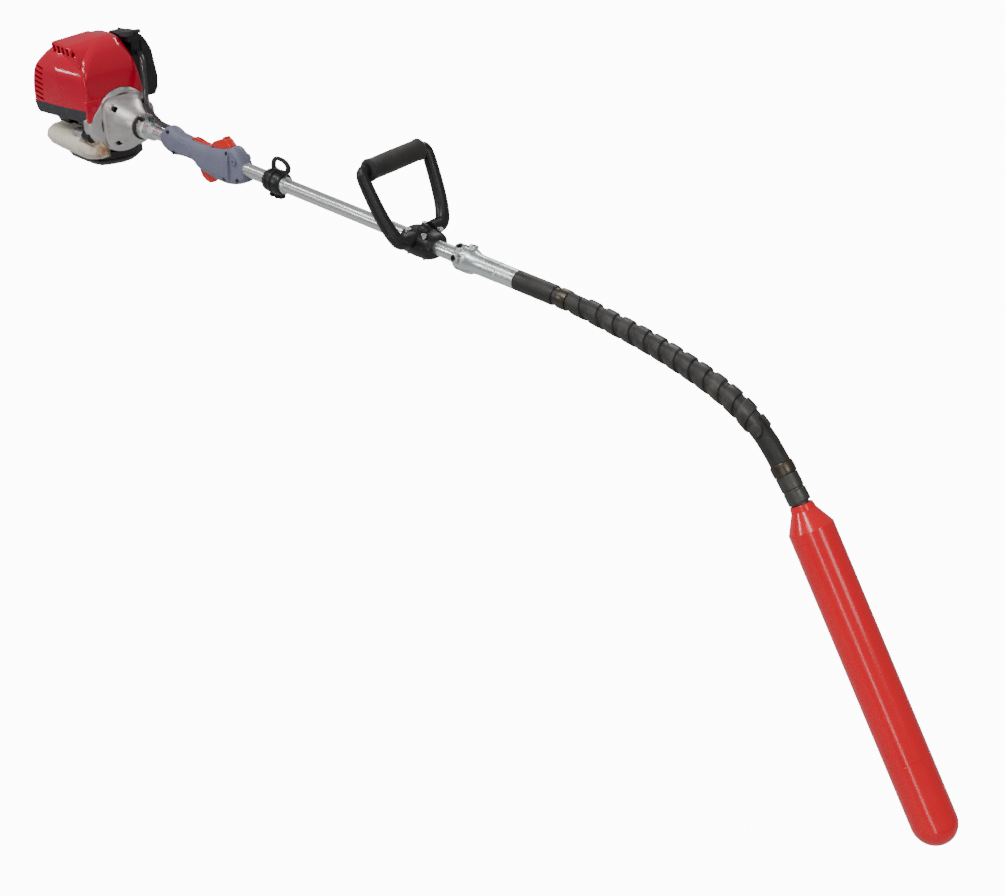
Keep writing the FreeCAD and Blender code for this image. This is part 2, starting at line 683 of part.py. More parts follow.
def throttle_handle():
    handle_half("handle_left", True)
    handle_half("handle_right", False)
    keep(group(*[
        joined(rod("y", "-handle_half + 2", "-handle_half + 4.5", 3, spot), rod("y", -14, 12, 1.6, spot))
        for spot in SCREW_SPOTS]), "handle_screws")

    blade = prism("trigger_blade", [
        (120, -31), (126, -46), (147, -53), (160, -46), (174, -36), (174, -24), (150, -24), (122, -26)],
        10)
    keep(less(blade, rod("y", -6, 6, "2 + run_gap", (170, -28))), "throttle_trigger")
    lever = prism("lock_blade", [(107, 16), (109, 20.5), (117, 23), (154, 19), (156, 14)], 8)
    keep(less(lever, rod("y", -5, 5, "1.5 + run_gap", (152, 16.2))), "lockout_lever")
    rocker = prism("switch_blade", [
        (168, 21), (170, 29), (186, 38), (205, 44), (213, 41), (222, 34), (222, 30.5), (208, 27), (203, 19),
        (188, 19)],
        16)
    keep(less(rocker, rod("y", -9, 9, "2 + run_gap", (196, 23))), "stop_switch")

    route = [
        (-146, 71, 106), (-126, 67, 90), (-109, 61, 66), (-98, 53, 47), (-84, 41, 31), (-68, 30, 22),
        (-45, 23, 18.5), (-14, 12, 18.8), (8, 2, 19), (33, 2, 19)]
    wire, _ = path_with_arcs([point(*spot) for spot in route])
    keep(feature(tube_along(wire, size("cable_radius"))), "throttle_cable")


# ---------------------------------------------------------------- harness clamp and loop handle

def harness_clamp():
    band = turned("band_turn", [
        (314, "pole_radius"), (314, 22), (318, 26), (328, 26), (329, 24), (333, 24), (334, 26), (344, 26),
        (345, 24), (349, 24), (350, 26), (360, 26), (364, 22), (364, "pole_radius")], finished=False)
    eye = prism("eye_plate", [
        (322, 16), (327, 37), (336, 45), ("eye_x", "eye_z + 12.5"), (362, 46), (371, 38), (366, 16)],
        "eye_width")
    ear = block((322, 356), (-8, 8), (-36, -22))
    slit = block((313, 365), (-1, 1), (-37, -10))
    bore = rod("x", 313, 365, "pole_radius")
    hole = rod("y", -10, 10, "eye_radius", ("eye_x", "eye_z"))
    screws = [rod("y", -10, 10, 2.5, (x, -30)) for x in (330, 348)]
    keep(less(joined(band, rounded(eye, 1.5, lambda e, m: abs(m.y) > 4 and m.z > 30), ear),
              slit, bore, hole, *screws), "harness_clamp")


def loop_frame(item, label):
    """Place a sub-part drawn upright over the bracket so that it leans back towards the engine."""
    lean = Rotation(Y_AXIS, -size("loop_lean"))
    item.Placement = Placement(point("loop_x - eye_x", 0, "-eye_z"), lean)
    return keep(item, label, in_pole_frame=False)


def loop_handle():
    """Bent tube with a foam grip, held to the pole by a two-part bracket."""
    corners = [(24.2, 14), (52, 15), (70, "loop_reach"), (-70, "loop_reach"), (-52, 15), (-24.2, 14)]
    bends = [14, 17, 17, 14]
    spots = [point(0, y, z) for y, z in corners]
    edges, start = [], spots[0]
    for before, corner, after, bend in zip(spots, spots[1:], spots[2:], bends):
        into, away = (before - corner).normalize(), (after - corner).normalize()
        half_turn = 0.5 * (math.pi - into.getAngle(away))
        first = corner + into * (bend * math.tan(half_turn))
        last = corner + away * (bend * math.tan(half_turn))
        bisector = (into + away).normalize()
        middle = corner + bisector * (bend / math.cos(half_turn) - bend)
        edges.append(Part.LineSegment(start, first).toShape())
        edges.append(Part.Arc(first, middle, last).toShape())
        start = last
    edges.append(Part.LineSegment(start, spots[-1]).toShape())
    loop_frame(feature(tube_along(Part.Wire(edges), size("loop_tube"))), "loop_handle")

    foam = rod("y", "-grip_half", "grip_half", "grip_radius", (0, "loop_reach"))
    sleeve = less(rounded(foam, 3, lambda edge, middle: edge.Closed),
                  rod("y", "-grip_half - 1", "grip_half + 1", "loop_tube", (0, "loop_reach")))
    loop_frame(sleeve, "grip_sleeve")

    spots = [(x, y) for x in (672, 706) for y in (-18, 18)]
    groove = rod("x", 650, 720, "pole_radius")
    drills = [rod("z", -22, 30, 2.6, spot) for spot in spots]
    top = rounded(block((656, 718), (-24, 24), (0.2, 18)), 4, along_z)
    crown = rod("x", 660, 714, 17.5)
    bare = less(joined(top, common(crown, block((650, 720), (-24, 24), (0.2, 30)))), groove, *drills)
    keep(bare, "bracket_upper")
    low = rounded(block((656, 718), (-24, 24), (-19, -0.2)), 4, along_z)
    keep(less(low, rod("x", 650, 720, "pole_radius"), *[rod("z", -22, 30, 2.6, s) for s in spots]), "bracket_lower")

    keep(group(*[socket_screw("z", -19, 18, 5, spot, flip=True) for spot in spots]), "bracket_screws")


# ---------------------------------------------------------------- coupling

def coupling():
    """Split clamp on the pole's end, a second sleeve and the hose socket."""
    hub = turned("hub_turn", [
        ("coupling_start", "pole_radius"), ("coupling_start", 17), (759, "hub_radius"), (800, "hub_radius"),
        (808, "neck_radius"), ("coupling_end", "neck_radius"), ("coupling_end", 8), ("pole_end + 1", 8),
        ("pole_end + 1", "pole_radius")], finished=False)
    ears = [round_x(block((x, x + 16), (-9, 9), (12, 29)), -24) for x in (766, 786)]
    foot = round_x(block((764, 800), (-6, 6), (-27, -12)), -24)
    slit = round_x(block((750, 796), (-0.9, 0.9), (-30, -8)), -24)
    top_slit = round_x(block((750, 803), (-0.9, 0.9), (8, 31)), -24)
    drills = [round_x(rod("y", -12, 12, 2.6, (x, 24)), -24) for x in (774, 794)]
    bore = rod("x", 750, "pole_end + 1", "pole_radius")
    keep(less(joined(hub, *ears, foot), slit, top_slit, *drills, bore), "coupling_clamp")
    turned("coupling_sleeve", [("coupling_end", 8), ("coupling_end", 15.2), (884, 15.2), (884, 8)])
    turned("hose_socket", [(884, 8), (884, 14.8), (886, 15.4), ("socket_end - 3", 15.4), ("socket_end", 14.6),
                           ("socket_end", 8)])


def socket_screw(axis, low, high, head, spot, flip=False, shank=2.5):
    """A socket screw whose head stands on the low end, or on the high end if flipped."""
    reach = (high, f"{high} + {head}") if flip else (f"{low} - {head}", low)
    socket = (f"{high} + {head} - 2.5", f"{high} + {head} + 1") if flip else \
        (f"{low} - {head} - 1", f"{low} - {head} + 2.5")
    body = joined(rod(axis, *reach, f"{shank} + 2.1", spot), rod(axis, low, high, shank, spot))
    return less(body, rod(axis, *socket, f"{shank} - 0.3", spot))


def socket_screws():
    """Black screws of the clutch housing, the tube collar, the harness clamp and the coupling."""
    corners = [(y, z) for y in ("-bolt_half", "bolt_half") for z in ("-bolt_half", "bolt_half")]
    screws = [socket_screw("x", "case_front", -93, 6, spot, flip=True, shank=3) for spot in corners]
    screws.append(socket_screw("y", -9, 9, 4, (-38, 21.5)))
    screws += [socket_screw("y", -8, 8, 4, (x, -30)) for x in (330, 348)]
    screws += [round_x(socket_screw("y", -9, 9, 5, (x, 24)), -24) for x in (774, 794)]
    keep(group(*screws), "socket_screws")


# ---------------------------------------------------------------- hose and head

HEAD_TOP = (1438.4, -99.6, -82.1)
HEAD_DIRECTION = Vector(0.6354, -0.0990, -0.7658).normalize()
FERRULE_DIRECTION = Vector(0.706, -0.105, -0.700).normalize()


def hose():
    """The hose's route, from the socket to the ferrule, is straight runs joined by large arcs."""
    head_top = point(*HEAD_TOP)
    hose_end = head_top - FERRULE_DIRECTION * size("ferrule_length")
    route = [
        point("socket_end", 0, 0), point(1003, 0, 0), point(1050, -7.5, 0.5), point(1104, -19, 3.5),
        point(1158.6, -33, 7), point(1212.6, -48, 8.5), point(1266.8, -63, 8), point(1317, -76.5, 3),
        point(1357, -86, -11.6), hose_end - FERRULE_DIRECTION * 34, hose_end]
    wire, radii = path_with_arcs(route)
    print("hose length", round(wire.Length, 1), "radii", [round(r) for r in radii])
    tubes = [("hose", "hose_radius", "hose_bore"), ("hose_guard", "guard_radius", "hose_radius")]
    for name, outer, inner in tubes:
        solid = tube_along(wire, size(outer), size(inner))
        ring = math.pi * (size(outer) ** 2 - size(inner) ** 2)
        print(name, "volume over section times length", round(solid.Volume / (ring * wire.Length), 4))
        keep(feature(solid), name)
    core_route = route[:-1] + [hose_end + FERRULE_DIRECTION * 48]
    core_wire, _ = path_with_arcs(core_route)
    keep(feature(tube_along(core_wire, size("core_radius"))), "flexible_core")

    ferrule = turned("hose_ferrule", [
        (0, 8), (0, 14.4), (18, 14.4), (19, 13.4), (21, 13.4), (22, 14.4), (36, 14.4), (38, 13.4),
        (38, 11), (45, 11), (45, 8)], finished=False)
    aim(ferrule, hose_end, FERRULE_DIRECTION)
    keep(ferrule, "hose_ferrule", in_pole_frame=False)


def head():
    """Poker head drawn along its own axis from the hose end to the tip."""
    head_top = point(*HEAD_TOP)
    connector = turned("head_connector", [
        (0, 12), (0, 14), (1.5, 15), (8, 16), (32, "head_radius"), (44.5, "head_radius"),
        (44.5, "head_radius - head_wall"), (58, "head_radius - head_wall"), (58, 10), (8, 10), (8, 12)],
        finished=False)
    tube = turned("head_tube", [
        (44.5, "head_radius - head_wall"), (44.5, "head_radius"), (337.5, "head_radius"),
        (338, "head_radius - 0.6"), (339, "head_radius - 0.6"), (339.5, "head_radius"),
        (392, "head_radius"), (392, "head_radius - head_wall")], finished=False)
    dome_x = "head_length - head_radius"
    ball = doc.addObject("Part::Sphere", "Dome")
    ball.setExpression("Radius", formula("head_radius"))
    ball.setExpression("Placement.Base.x", formula(dome_x))
    nose = less(
        joined(rod("x", 392, dome_x, "head_radius"), ball,
               rod("x", 380, 393, "head_radius - head_wall")),
        rod("x", 360, 379.9, 60), less(rod("x", 360, 391.9, 60), rod("x", 360, 392, "head_radius - head_wall")),
        rod("x", 379, 425, 20), rod("x", "head_length - 1.2", "head_length + 1", 3))
    weight = less(rod("x", 92, 348, 20), block((91, 349), (-21, 21), (-4, 21)))
    rotor = joined(weight, rod("x", 62, 378, 7), rod("x", 12, 63, 5))
    for item, label in ((connector, "head_connector"), (tube, "head_tube"), (nose, "nose_cap"),
                        (rotor, "eccentric_rotor")):
        aim(item, head_top, HEAD_DIRECTION)
        keep(item, label, in_pole_frame=False)
    ball_bearings(head_top)


def ball_bearings(head_top):
    """The crankshaft's, the clutch drum's and the rotor's bearings, as separate rings."""
    on_pole = group(
        bearing("crank_x - 34", 10, "bearing_radius", "crank_radius + run_gap"),
        bearing("crank_x + 24", 10, "bearing_radius", "crank_radius + run_gap"),
        bearing(-88, 12, "bearing_radius", "7 + run_gap"))
    on_pole.Placement = Placement(point("-eye_x", 0, "-eye_z"), Rotation())
    in_head = group(*[bearing(start, 14, "head_radius - head_wall", "7 + run_gap") for start in (62, 364)])
    aim(in_head, head_top, HEAD_DIRECTION)
    keep(group(on_pole, in_head), "ball_bearings", in_pole_frame=False)


# ---------------------------------------------------------------- build, check and write

def check_and_write():
    doc.recompute()
    for item in doc.Objects:
        if {"Invalid", "Error"} & set(item.State):
            raise SystemExit(f"{item.Name} ({item.Label}) failed: {item.State}")
    labels = [item.Label for item in sub_parts]
    if len(set(labels)) != len(labels) or len(labels) > 60:
        raise SystemExit(f"{len(labels)} sub-parts, some sharing a name")
    os.makedirs(PARTS_FOLDER, exist_ok=True)
    for item in sub_parts:
        if item.Shape.isNull() or not item.Shape.isValid() or not item.Shape.Solids:
            raise SystemExit(f"{item.Label} has no valid shape")
        item.Shape.exportStep(f"{PARTS_FOLDER}/{item.Label}.step")
    print(len(sub_parts), "sub-parts written")


engine_core()
clutch()
pole()
engine_services()
throttle_handle()
harness_clamp()
loop_handle()
coupling()
socket_screws()
hose()
head()
check_and_write()
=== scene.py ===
"""Looks of the concrete vibrator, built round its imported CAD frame.

Sizes are in millimetres in the pole frame, as in the CAD source: X runs along the pole from the engine
to the head, Z is up, and Y = Z = 0 is the pole's axis. at() turns them into metres in the row frame."""

import json
import math

import bmesh
import bpy
from mathutils import Matrix, Vector


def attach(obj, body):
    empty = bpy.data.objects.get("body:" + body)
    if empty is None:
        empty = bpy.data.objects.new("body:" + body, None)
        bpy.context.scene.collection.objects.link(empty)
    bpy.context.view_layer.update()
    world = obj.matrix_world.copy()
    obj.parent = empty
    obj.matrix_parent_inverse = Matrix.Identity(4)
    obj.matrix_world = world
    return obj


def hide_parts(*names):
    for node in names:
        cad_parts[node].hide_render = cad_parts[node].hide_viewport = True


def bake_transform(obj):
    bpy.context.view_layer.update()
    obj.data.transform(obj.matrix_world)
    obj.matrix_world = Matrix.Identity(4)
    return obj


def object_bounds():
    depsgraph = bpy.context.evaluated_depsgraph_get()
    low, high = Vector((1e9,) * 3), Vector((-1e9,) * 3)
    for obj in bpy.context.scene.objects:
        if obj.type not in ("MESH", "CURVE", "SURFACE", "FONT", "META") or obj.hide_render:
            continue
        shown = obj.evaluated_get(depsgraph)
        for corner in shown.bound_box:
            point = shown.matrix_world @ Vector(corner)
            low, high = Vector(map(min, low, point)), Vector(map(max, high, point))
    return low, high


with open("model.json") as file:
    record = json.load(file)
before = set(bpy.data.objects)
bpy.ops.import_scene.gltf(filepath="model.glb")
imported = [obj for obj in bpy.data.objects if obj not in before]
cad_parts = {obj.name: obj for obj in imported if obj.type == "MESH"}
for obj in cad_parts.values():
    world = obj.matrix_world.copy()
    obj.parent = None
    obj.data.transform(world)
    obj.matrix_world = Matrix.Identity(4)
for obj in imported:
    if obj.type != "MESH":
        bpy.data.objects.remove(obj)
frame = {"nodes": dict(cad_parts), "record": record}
cad_low, cad_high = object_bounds()
NODES = frame["nodes"]

# The harness eye is the origin of the row frame. Below it, where the head starts and how it points.
EYE = Vector((349, 0, 36))
HEAD_TOP = Vector((1438.4, -99.6, -82.1))
HEAD_DIRECTION = Vector((0.6354, -0.0990, -0.7658)).normalized()
FERRULE_DIRECTION = Vector((0.706, -0.105, -0.700)).normalized()
HOSE_END = HEAD_TOP - 40 * FERRULE_DIRECTION

# Radii, and how high the grip stands in the loop's plane.
POLE_BORE = 12.05
CABLE_RADIUS = 5.4
LOOP_RADIUS = 10.4
GRIP_HEIGHT = 131
HOSE_RADIUS = 13.25
CORE_RADIUS = 6


def at(*spot):
    """A point in the pole frame, in millimetres, as a point in the row frame, in metres."""
    return (Vector(spot) - EYE) / 1000


# -------------------------------------------- materials

class Recipe:
    """A Principled material with helpers for the noise that varies it."""

    def __init__(self, name, colour, roughness, metallic=0.0, **sockets):
        self.material = bpy.data.materials.new(name)
        self.material.use_nodes = True
        self.nodes = self.material.node_tree.nodes
        self.links = self.material.node_tree.links
        self.shader = self.nodes["Principled BSDF"]
        self.colour = (*colour, 1)
        self.set("Base Color", self.colour)
        self.set("Roughness", roughness)
        self.set("Metallic", metallic)
        for socket, value in sockets.items():
            self.set(socket.replace("_", " "), value)
        self.roughness = roughness
        self.height = None
        self.place = self.nodes.new("ShaderNodeTexCoord").outputs["Object"]

    def set(self, socket, value):
        self.shader.inputs[socket].default_value = value

    def noise(self, scale, detail=3, stretch=(1, 1, 1), distortion=0.0):
        """Noise of a scale per metre, stretched along the axes."""
        mapping = self.nodes.new("ShaderNodeMapping")
        mapping.inputs["Scale"].default_value = stretch
        self.links.new(self.place, mapping.inputs["Vector"])
        texture = self.nodes.new("ShaderNodeTexNoise")
        texture.inputs["Scale"].default_value = scale
        texture.inputs["Detail"].default_value = detail
        texture.inputs["Distortion"].default_value = distortion
        self.links.new(mapping.outputs["Vector"], texture.inputs["Vector"])
        return texture.outputs["Fac"]

    def cells(self, scale):
        texture = self.nodes.new("ShaderNodeTexVoronoi")
        texture.inputs["Scale"].default_value = scale
        self.links.new(self.place, texture.inputs["Vector"])
        return texture.outputs["Distance"]

    def ramp(self, source, low, high, start=0.0, end=1.0):
        """The source stretched so that low gives start and high gives end."""
        node = self.nodes.new("ShaderNodeMapRange")
        for socket, value in (("From Min", low), ("From Max", high), ("To Min", start), ("To Max", end)):
            node.inputs[socket].default_value = value
        self.links.new(source, node.inputs["Value"])
        return node.outputs["Result"]

    def tint(self, mask, colour):
        """Mix a colour over what the base colour is now, by a mask."""
        mix = self.nodes.new("ShaderNodeMix")
        mix.data_type = "RGBA"
        base = self.shader.inputs["Base Color"]
        if base.is_linked:
            self.links.new(base.links[0].from_socket, mix.inputs[6])
        else:
            mix.inputs[6].default_value = self.colour
        mix.inputs[7].default_value = (*colour, 1)
        self.links.new(mask, mix.inputs["Factor"])
        self.links.new(mix.outputs[2], base)

    def patches(self, colour, scale, detail, low, high, share, distortion=0.0):
        """Tint with a colour where the noise runs from low to high, at most by a share."""
        cloud = self.noise(scale, detail, distortion=distortion)
        self.tint(self.ramp(cloud, low, high, 0, share), colour)

    def vary_roughness(self, mask, spread):
        self.links.new(
            self.ramp(mask, 0.3, 0.7, self.roughness - spread, self.roughness + spread),
            self.shader.inputs["Roughness"])

    def bump(self, source, distance, strength=1.0):
        """Add a height, in metres, on top of any bump there is already."""
        node = self.nodes.new("ShaderNodeBump")
        node.inputs["Distance"].default_value = distance
        node.inputs["Strength"].default_value = strength
        self.links.new(source, node.inputs["Height"])
        if self.height is not None:
            self.links.new(self.height, node.inputs["Normal"])
        self.height = node.outputs["Normal"]
        self.links.new(self.height, self.shader.inputs["Normal"])


def scaled(colour, factor):
    return tuple(factor * channel for channel in colour)


def gloss_shell(name, colour, deep, dust, roughness=0.2, coat_roughness=0.05):
    """Glossy moulded plastic or enamel with faint clouding and a slight orange peel."""
    recipe = Recipe(name, colour, roughness, Coat_Weight=0.25, Coat_Roughness=coat_roughness, IOR=1.45)
    recipe.patches(deep, 9, 4, 0.45, 0.75, 0.5)
    recipe.patches(dust, 260, 5, 0.66, 0.85, 0.12)
    recipe.vary_roughness(recipe.noise(45, 4), 0.05)
    recipe.bump(recipe.noise(60, 1), 0.00005, 0.2)
    return recipe.material


def grained_plastic(name, colour, roughness=0.5, grain=1600, worn=(0.4, 0.4, 0.42)):
    """Moulded plastic with a fine spark-eroded grain and paler rubbed patches."""
    recipe = Recipe(name, colour, roughness, IOR=1.47)
    recipe.patches(scaled(colour, 0.6), 14, 4, 0.4, 0.75, 0.35)
    recipe.patches(worn, 180, 6, 0.6, 0.85, 0.2)
    recipe.vary_roughness(recipe.noise(60, 3), 0.08)
    recipe.bump(recipe.noise(grain, 2), 0.00012, 0.5)
    recipe.bump(recipe.noise(40, 2), 0.0004, 0.15)
    return recipe.material


def cast_metal(name, colour, roughness=0.42, grain=700):
    """Die-cast alloy: fine pitted skin, uneven sheen and darker grime."""
    recipe = Recipe(name, colour, roughness, metallic=0.85)
    recipe.patches(scaled(colour, 0.62), 22, 5, 0.45, 0.8, 0.6)
    recipe.patches((0.2, 0.17, 0.14), 160, 6, 0.6, 0.75, 0.35)
    recipe.vary_roughness(recipe.noise(90, 4), 0.1)
    recipe.bump(recipe.noise(grain, 4), 0.0002, 0.5)
    return recipe.material


def drawn_tube(name, colour, roughness=0.3):
    """Satin tube with fine lines along its length."""
    recipe = Recipe(name, colour, roughness, metallic=0.9)
    lines = recipe.noise(900, 3, stretch=(0.02, 1, 1))
    recipe.tint(recipe.ramp(lines, 0.4, 0.7, 0, 0.3), scaled(colour, 0.75))
    recipe.patches((0.45, 0.45, 0.47), 12, 5, 0.5, 0.8, 0.25)
    recipe.vary_roughness(lines, 0.07)
    recipe.bump(lines, 0.00003, 0.6)
    return recipe.material


def zinc_plate(name):
    """Bright zinc plating with clouded, faintly green and brown patches."""
    recipe = Recipe(name, (0.82, 0.87, 0.87), 0.33, metallic=1.0)
    recipe.patches((0.5, 0.55, 0.52), 30, 5, 0.45, 0.7, 0.5, distortion=0.8)
    recipe.patches((0.36, 0.34, 0.28), 75, 5, 0.62, 0.74, 0.35)
    recipe.vary_roughness(recipe.noise(120, 4), 0.1)
    recipe.bump(recipe.noise(500, 3), 0.00008, 0.4)
    return recipe.material


def machined(name, colour, roughness=0.3):
    recipe = Recipe(name, colour, roughness, metallic=1.0)
    recipe.patches(scaled(colour, 0.6), 60, 4, 0.45, 0.7, 0.5)
    recipe.vary_roughness(recipe.noise(200, 3), 0.08)
    recipe.bump(recipe.noise(1200, 2), 0.00004, 0.5)
    return recipe.material


def rubber(name, colour, scuff, roughness=0.5, ribs=0.0):
    """Dull rubber, scuffed in places and dusted."""
    recipe = Recipe(name, colour, roughness, IOR=1.52)
    recipe.patches(scuff, 28, 5, 0.5, 0.72, 0.7, distortion=0.5)
    recipe.patches(scaled(scuff, 1.6), 240, 5, 0.6, 0.72, 0.4)
    recipe.vary_roughness(recipe.noise(50, 4), 0.12)
    recipe.bump(recipe.noise(900, 4), 0.0001, 0.6)
    if ribs:
        recipe.bump(recipe.noise(160, 4), ribs, 0.4)
    return recipe.material


def foam(name):
    """Closed-cell foam: fine pits over a soft dark skin, the pits darkened with painted shade."""
    recipe = Recipe(name, (0.018, 0.018, 0.018), 0.72, Sheen_Weight=0.3, Sheen_Roughness=0.4)
    recipe.patches((0.05, 0.043, 0.035), 50, 4, 0.4, 0.7, 0.6)
    # Painted shade: the cell pits, which the bump below sinks, are tinted towards near black.
    recipe.tint(recipe.ramp(recipe.cells(700), 0.0, 0.35, 0.6, 0), (0.004, 0.004, 0.004))
    recipe.bump(recipe.cells(700), 0.0003, 0.7)
    recipe.bump(recipe.noise(300, 4), 0.0002, 0.4)
    return recipe.material


def stained_tank(name):
    """Cream blow-moulded tank: waxy, with brown fuel stains towards its front and small brown patches
    scattered over it.
    """
    recipe = Recipe(name, (0.93, 0.88, 0.73), 0.28, Subsurface_Weight=0.25, Subsurface_Scale=0.02,
                    Subsurface_Radius=(1.0, 0.7, 0.4), Coat_Weight=0.25, Coat_Roughness=0.2)
    split = recipe.nodes.new("ShaderNodeSeparateXYZ")
    recipe.links.new(recipe.place, split.inputs["Vector"])
    forward = recipe.ramp(split.outputs["X"], -0.5, -0.455)
    stain = recipe.nodes.new("ShaderNodeMath")
    stain.operation = "MULTIPLY"
    recipe.links.new(forward, stain.inputs[0])
    recipe.links.new(recipe.ramp(recipe.noise(26, 5, distortion=0.6), 0.35, 0.6), stain.inputs[1])
    recipe.patches((0.86, 0.82, 0.7), 11, 3, 0.4, 0.7, 0.4)
    recipe.tint(stain.outputs["Value"], (0.42, 0.2, 0.07))
    recipe.patches((0.5, 0.32, 0.14), 60, 5, 0.6, 0.75, 0.5)
    recipe.vary_roughness(recipe.noise(40, 3), 0.08)
    recipe.bump(recipe.noise(120, 3), 0.0003, 0.3)
    return recipe.material


def felt(name):
    recipe = Recipe(name, (0.62, 0.56, 0.4), 0.95, Sheen_Weight=0.4)
    recipe.patches((0.4, 0.34, 0.22), 900, 6, 0.4, 0.7, 0.6)
    recipe.bump(recipe.noise(2200, 6), 0.0004, 0.8)
    return recipe.material


LOOKS = {
    "red_cover": gloss_shell("cover_red", (0.66, 0.003, 0.03), (0.5, 0.002, 0.03), (0.7, 0.14, 0.14), 0.17),
    "head_red": gloss_shell(
        "head_enamel", (0.95, 0.0, 0.016), (0.85, 0.0, 0.014), (0.8, 0.02, 0.02), 0.2, 0.1),
    "dark_plastic": grained_plastic("dark_plastic", (0.045, 0.047, 0.052), 0.55),
    "black_gloss": grained_plastic("black_plastic", (0.014, 0.014, 0.016), 0.36, 1200),
    "handle_grey": grained_plastic("handle_grey", (0.2, 0.205, 0.29), 0.46, 1500, (0.45, 0.46, 0.56)),
    "signal_red": grained_plastic("signal_red", (0.86, 0.018, 0.008), 0.32, 1500, (0.9, 0.2, 0.12)),
    "cast_alloy": cast_metal("cast_alloy", (0.68, 0.66, 0.645)),
    "pole_alloy": drawn_tube("pole_alloy", (0.82, 0.83, 0.85), 0.26),
    "zinc": zinc_plate("zinc_plate"),
    "steel": machined("machined_steel", (0.5, 0.5, 0.52)),
    "black_steel": grained_plastic("black_coat", (0.012, 0.012, 0.012), 0.34, 700, (0.08, 0.075, 0.06)),
    "cast_iron": cast_metal("cast_iron", (0.16, 0.16, 0.17), 0.6, 500),
    "soot_steel": cast_metal("soot_steel", (0.12, 0.1, 0.08), 0.6, 300),
    "foam": foam("grip_foam"),
    "rubber": rubber("hose_rubber", (0.022, 0.022, 0.021), (0.07, 0.062, 0.052)),
    "band_rubber": rubber("band_rubber", (0.034, 0.032, 0.031), (0.1, 0.083, 0.068), 0.46, 0.0003),
    "ferrule": machined("ferrule_bronze", (0.12, 0.1, 0.082), 0.38),
    "dark_sleeve": cast_metal("dark_sleeve", (0.11, 0.108, 0.1), 0.48, 500),
    "felt": felt("filter_felt"),
    "cable_black": rubber("cable_jacket", (0.035, 0.035, 0.038), (0.07, 0.07, 0.07), 0.28),
    "tank_cream": stained_tank("tank_cream"),
}


def paint(item, slot_name):
    item.data.materials.clear()
    item.data.materials.append(LOOKS[slot_name])


SLOT_OF = {entry["node"]: entry["material_slot"] for entry in frame["record"]["subparts"]}
for node_name, node in NODES.items():
    paint(node, SLOT_OF[node_name])
# These two look unlike the rest of their slot.
paint(NODES["handle_screws"], "black_steel")
paint(NODES["hose_ferrule"], "dark_sleeve")


# -------------------------------------------- mesh helpers

def new_object(name, data):
    item = bpy.data.objects.new(name, data)
    bpy.context.scene.collection.objects.link(item)
    return item


def piece(name, mesh, body, slot_name, nodes=(), smooth=35):
    """Turn a mesh into a named piece that rides on a body and may replace CAD nodes."""
    item = new_object(name, mesh)
    paint(item, slot_name)
    mesh.shade_smooth()
    mesh.set_sharp_from_angle(angle=math.radians(smooth))
    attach(item, body)
    if nodes:
        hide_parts(*nodes)
    return item


def skin(rings):
    """A closed mesh through rings of equal count, with its faces turned outwards."""
    count = len(rings[0])
    points = [p for ring in rings for p in ring]
    faces = []
    for row in range(len(rings) - 1):
        for i in range(count):
            a, b = row * count + i, row * count + (i + 1) % count
            faces.append((a, b, b + count, a + count))
    faces.append(tuple(range(count)))
    faces.append(tuple(range(len(points) - count, len(points)))[::-1])
    mesh = bpy.data.meshes.new("mesh")
    mesh.from_pydata(points, [], faces)
    mesh.validate()
    build = bmesh.new()
    build.from_mesh(mesh)
    bmesh.ops.recalc_face_normals(build, faces=build.faces)
    build.to_mesh(mesh)
    build.free()
    return mesh


def route_curve(name, spots, radius):
    """A round tube along one smooth NURBS line."""
    curve = bpy.data.curves.new(name, "CURVE")
    curve.dimensions = "3D"
    spline = curve.splines.new("NURBS")
    spline.points.add(len(spots) - 1)
    for control, spot in zip(spline.points, spots):
        control.co = (*at(*spot), 1)
    spline.order_u = 3
    spline.use_endpoint_u = True
    spline.resolution_u = 12
    curve.bevel_depth = radius / 1000
    curve.bevel_resolution = 10
    curve.use_fill_caps = True
    return new_object(name, curve)


def tube_piece(name, spots, radius, slot_name, nodes):
    """A round tube along one smooth line, fixed to the frame, and the points of its line."""
    item = route_curve(name + "_line", spots, radius)
    mesh = bpy.data.meshes.new_from_object(item)
    item.data.bevel_depth = 0
    line = bpy.data.meshes.new_from_object(item)
    points = [Vector(v.co) * 1000 + EYE for v in line.vertices]
    bpy.data.meshes.remove(line)
    bpy.data.objects.remove(item)
    return piece(name, mesh, "frame", slot_name, nodes, smooth=60), points


def rounded_ring(corners, z, arc_steps=7, side_steps=5):
    """A closed outline at one height. A corner is (x, y, radius); every ring has the same count."""
    spots = [Vector((x, y, 0)) for x, y, _ in corners]
    count = len(spots)
    ends = []
    for i in range(count):
        corner, radius = spots[i], corners[i][2]
        into = (spots[i - 1] - corner).normalized()
        away = (spots[(i + 1) % count] - corner).normalized()
        half = 0.5 * into.angle(away)
        setback = radius / math.tan(half)
        centre = corner + (into + away).normalized() * (radius / math.sin(half))
        ends.append((corner + into * setback, corner + away * setback, centre, radius))
    ring = []
    for i in range(count):
        first, last, centre, radius = ends[i]
        for step in range(arc_steps + 1):
            spoke = (first - centre).lerp(last - centre, step / arc_steps).normalized()
            ring.append(centre + spoke * radius)
        following = ends[(i + 1) % count][0]
        for step in range(1, side_steps):
            ring.append(last.lerp(following, step / side_steps))
    return [Vector((p.x, p.y, z)) for p in ring]


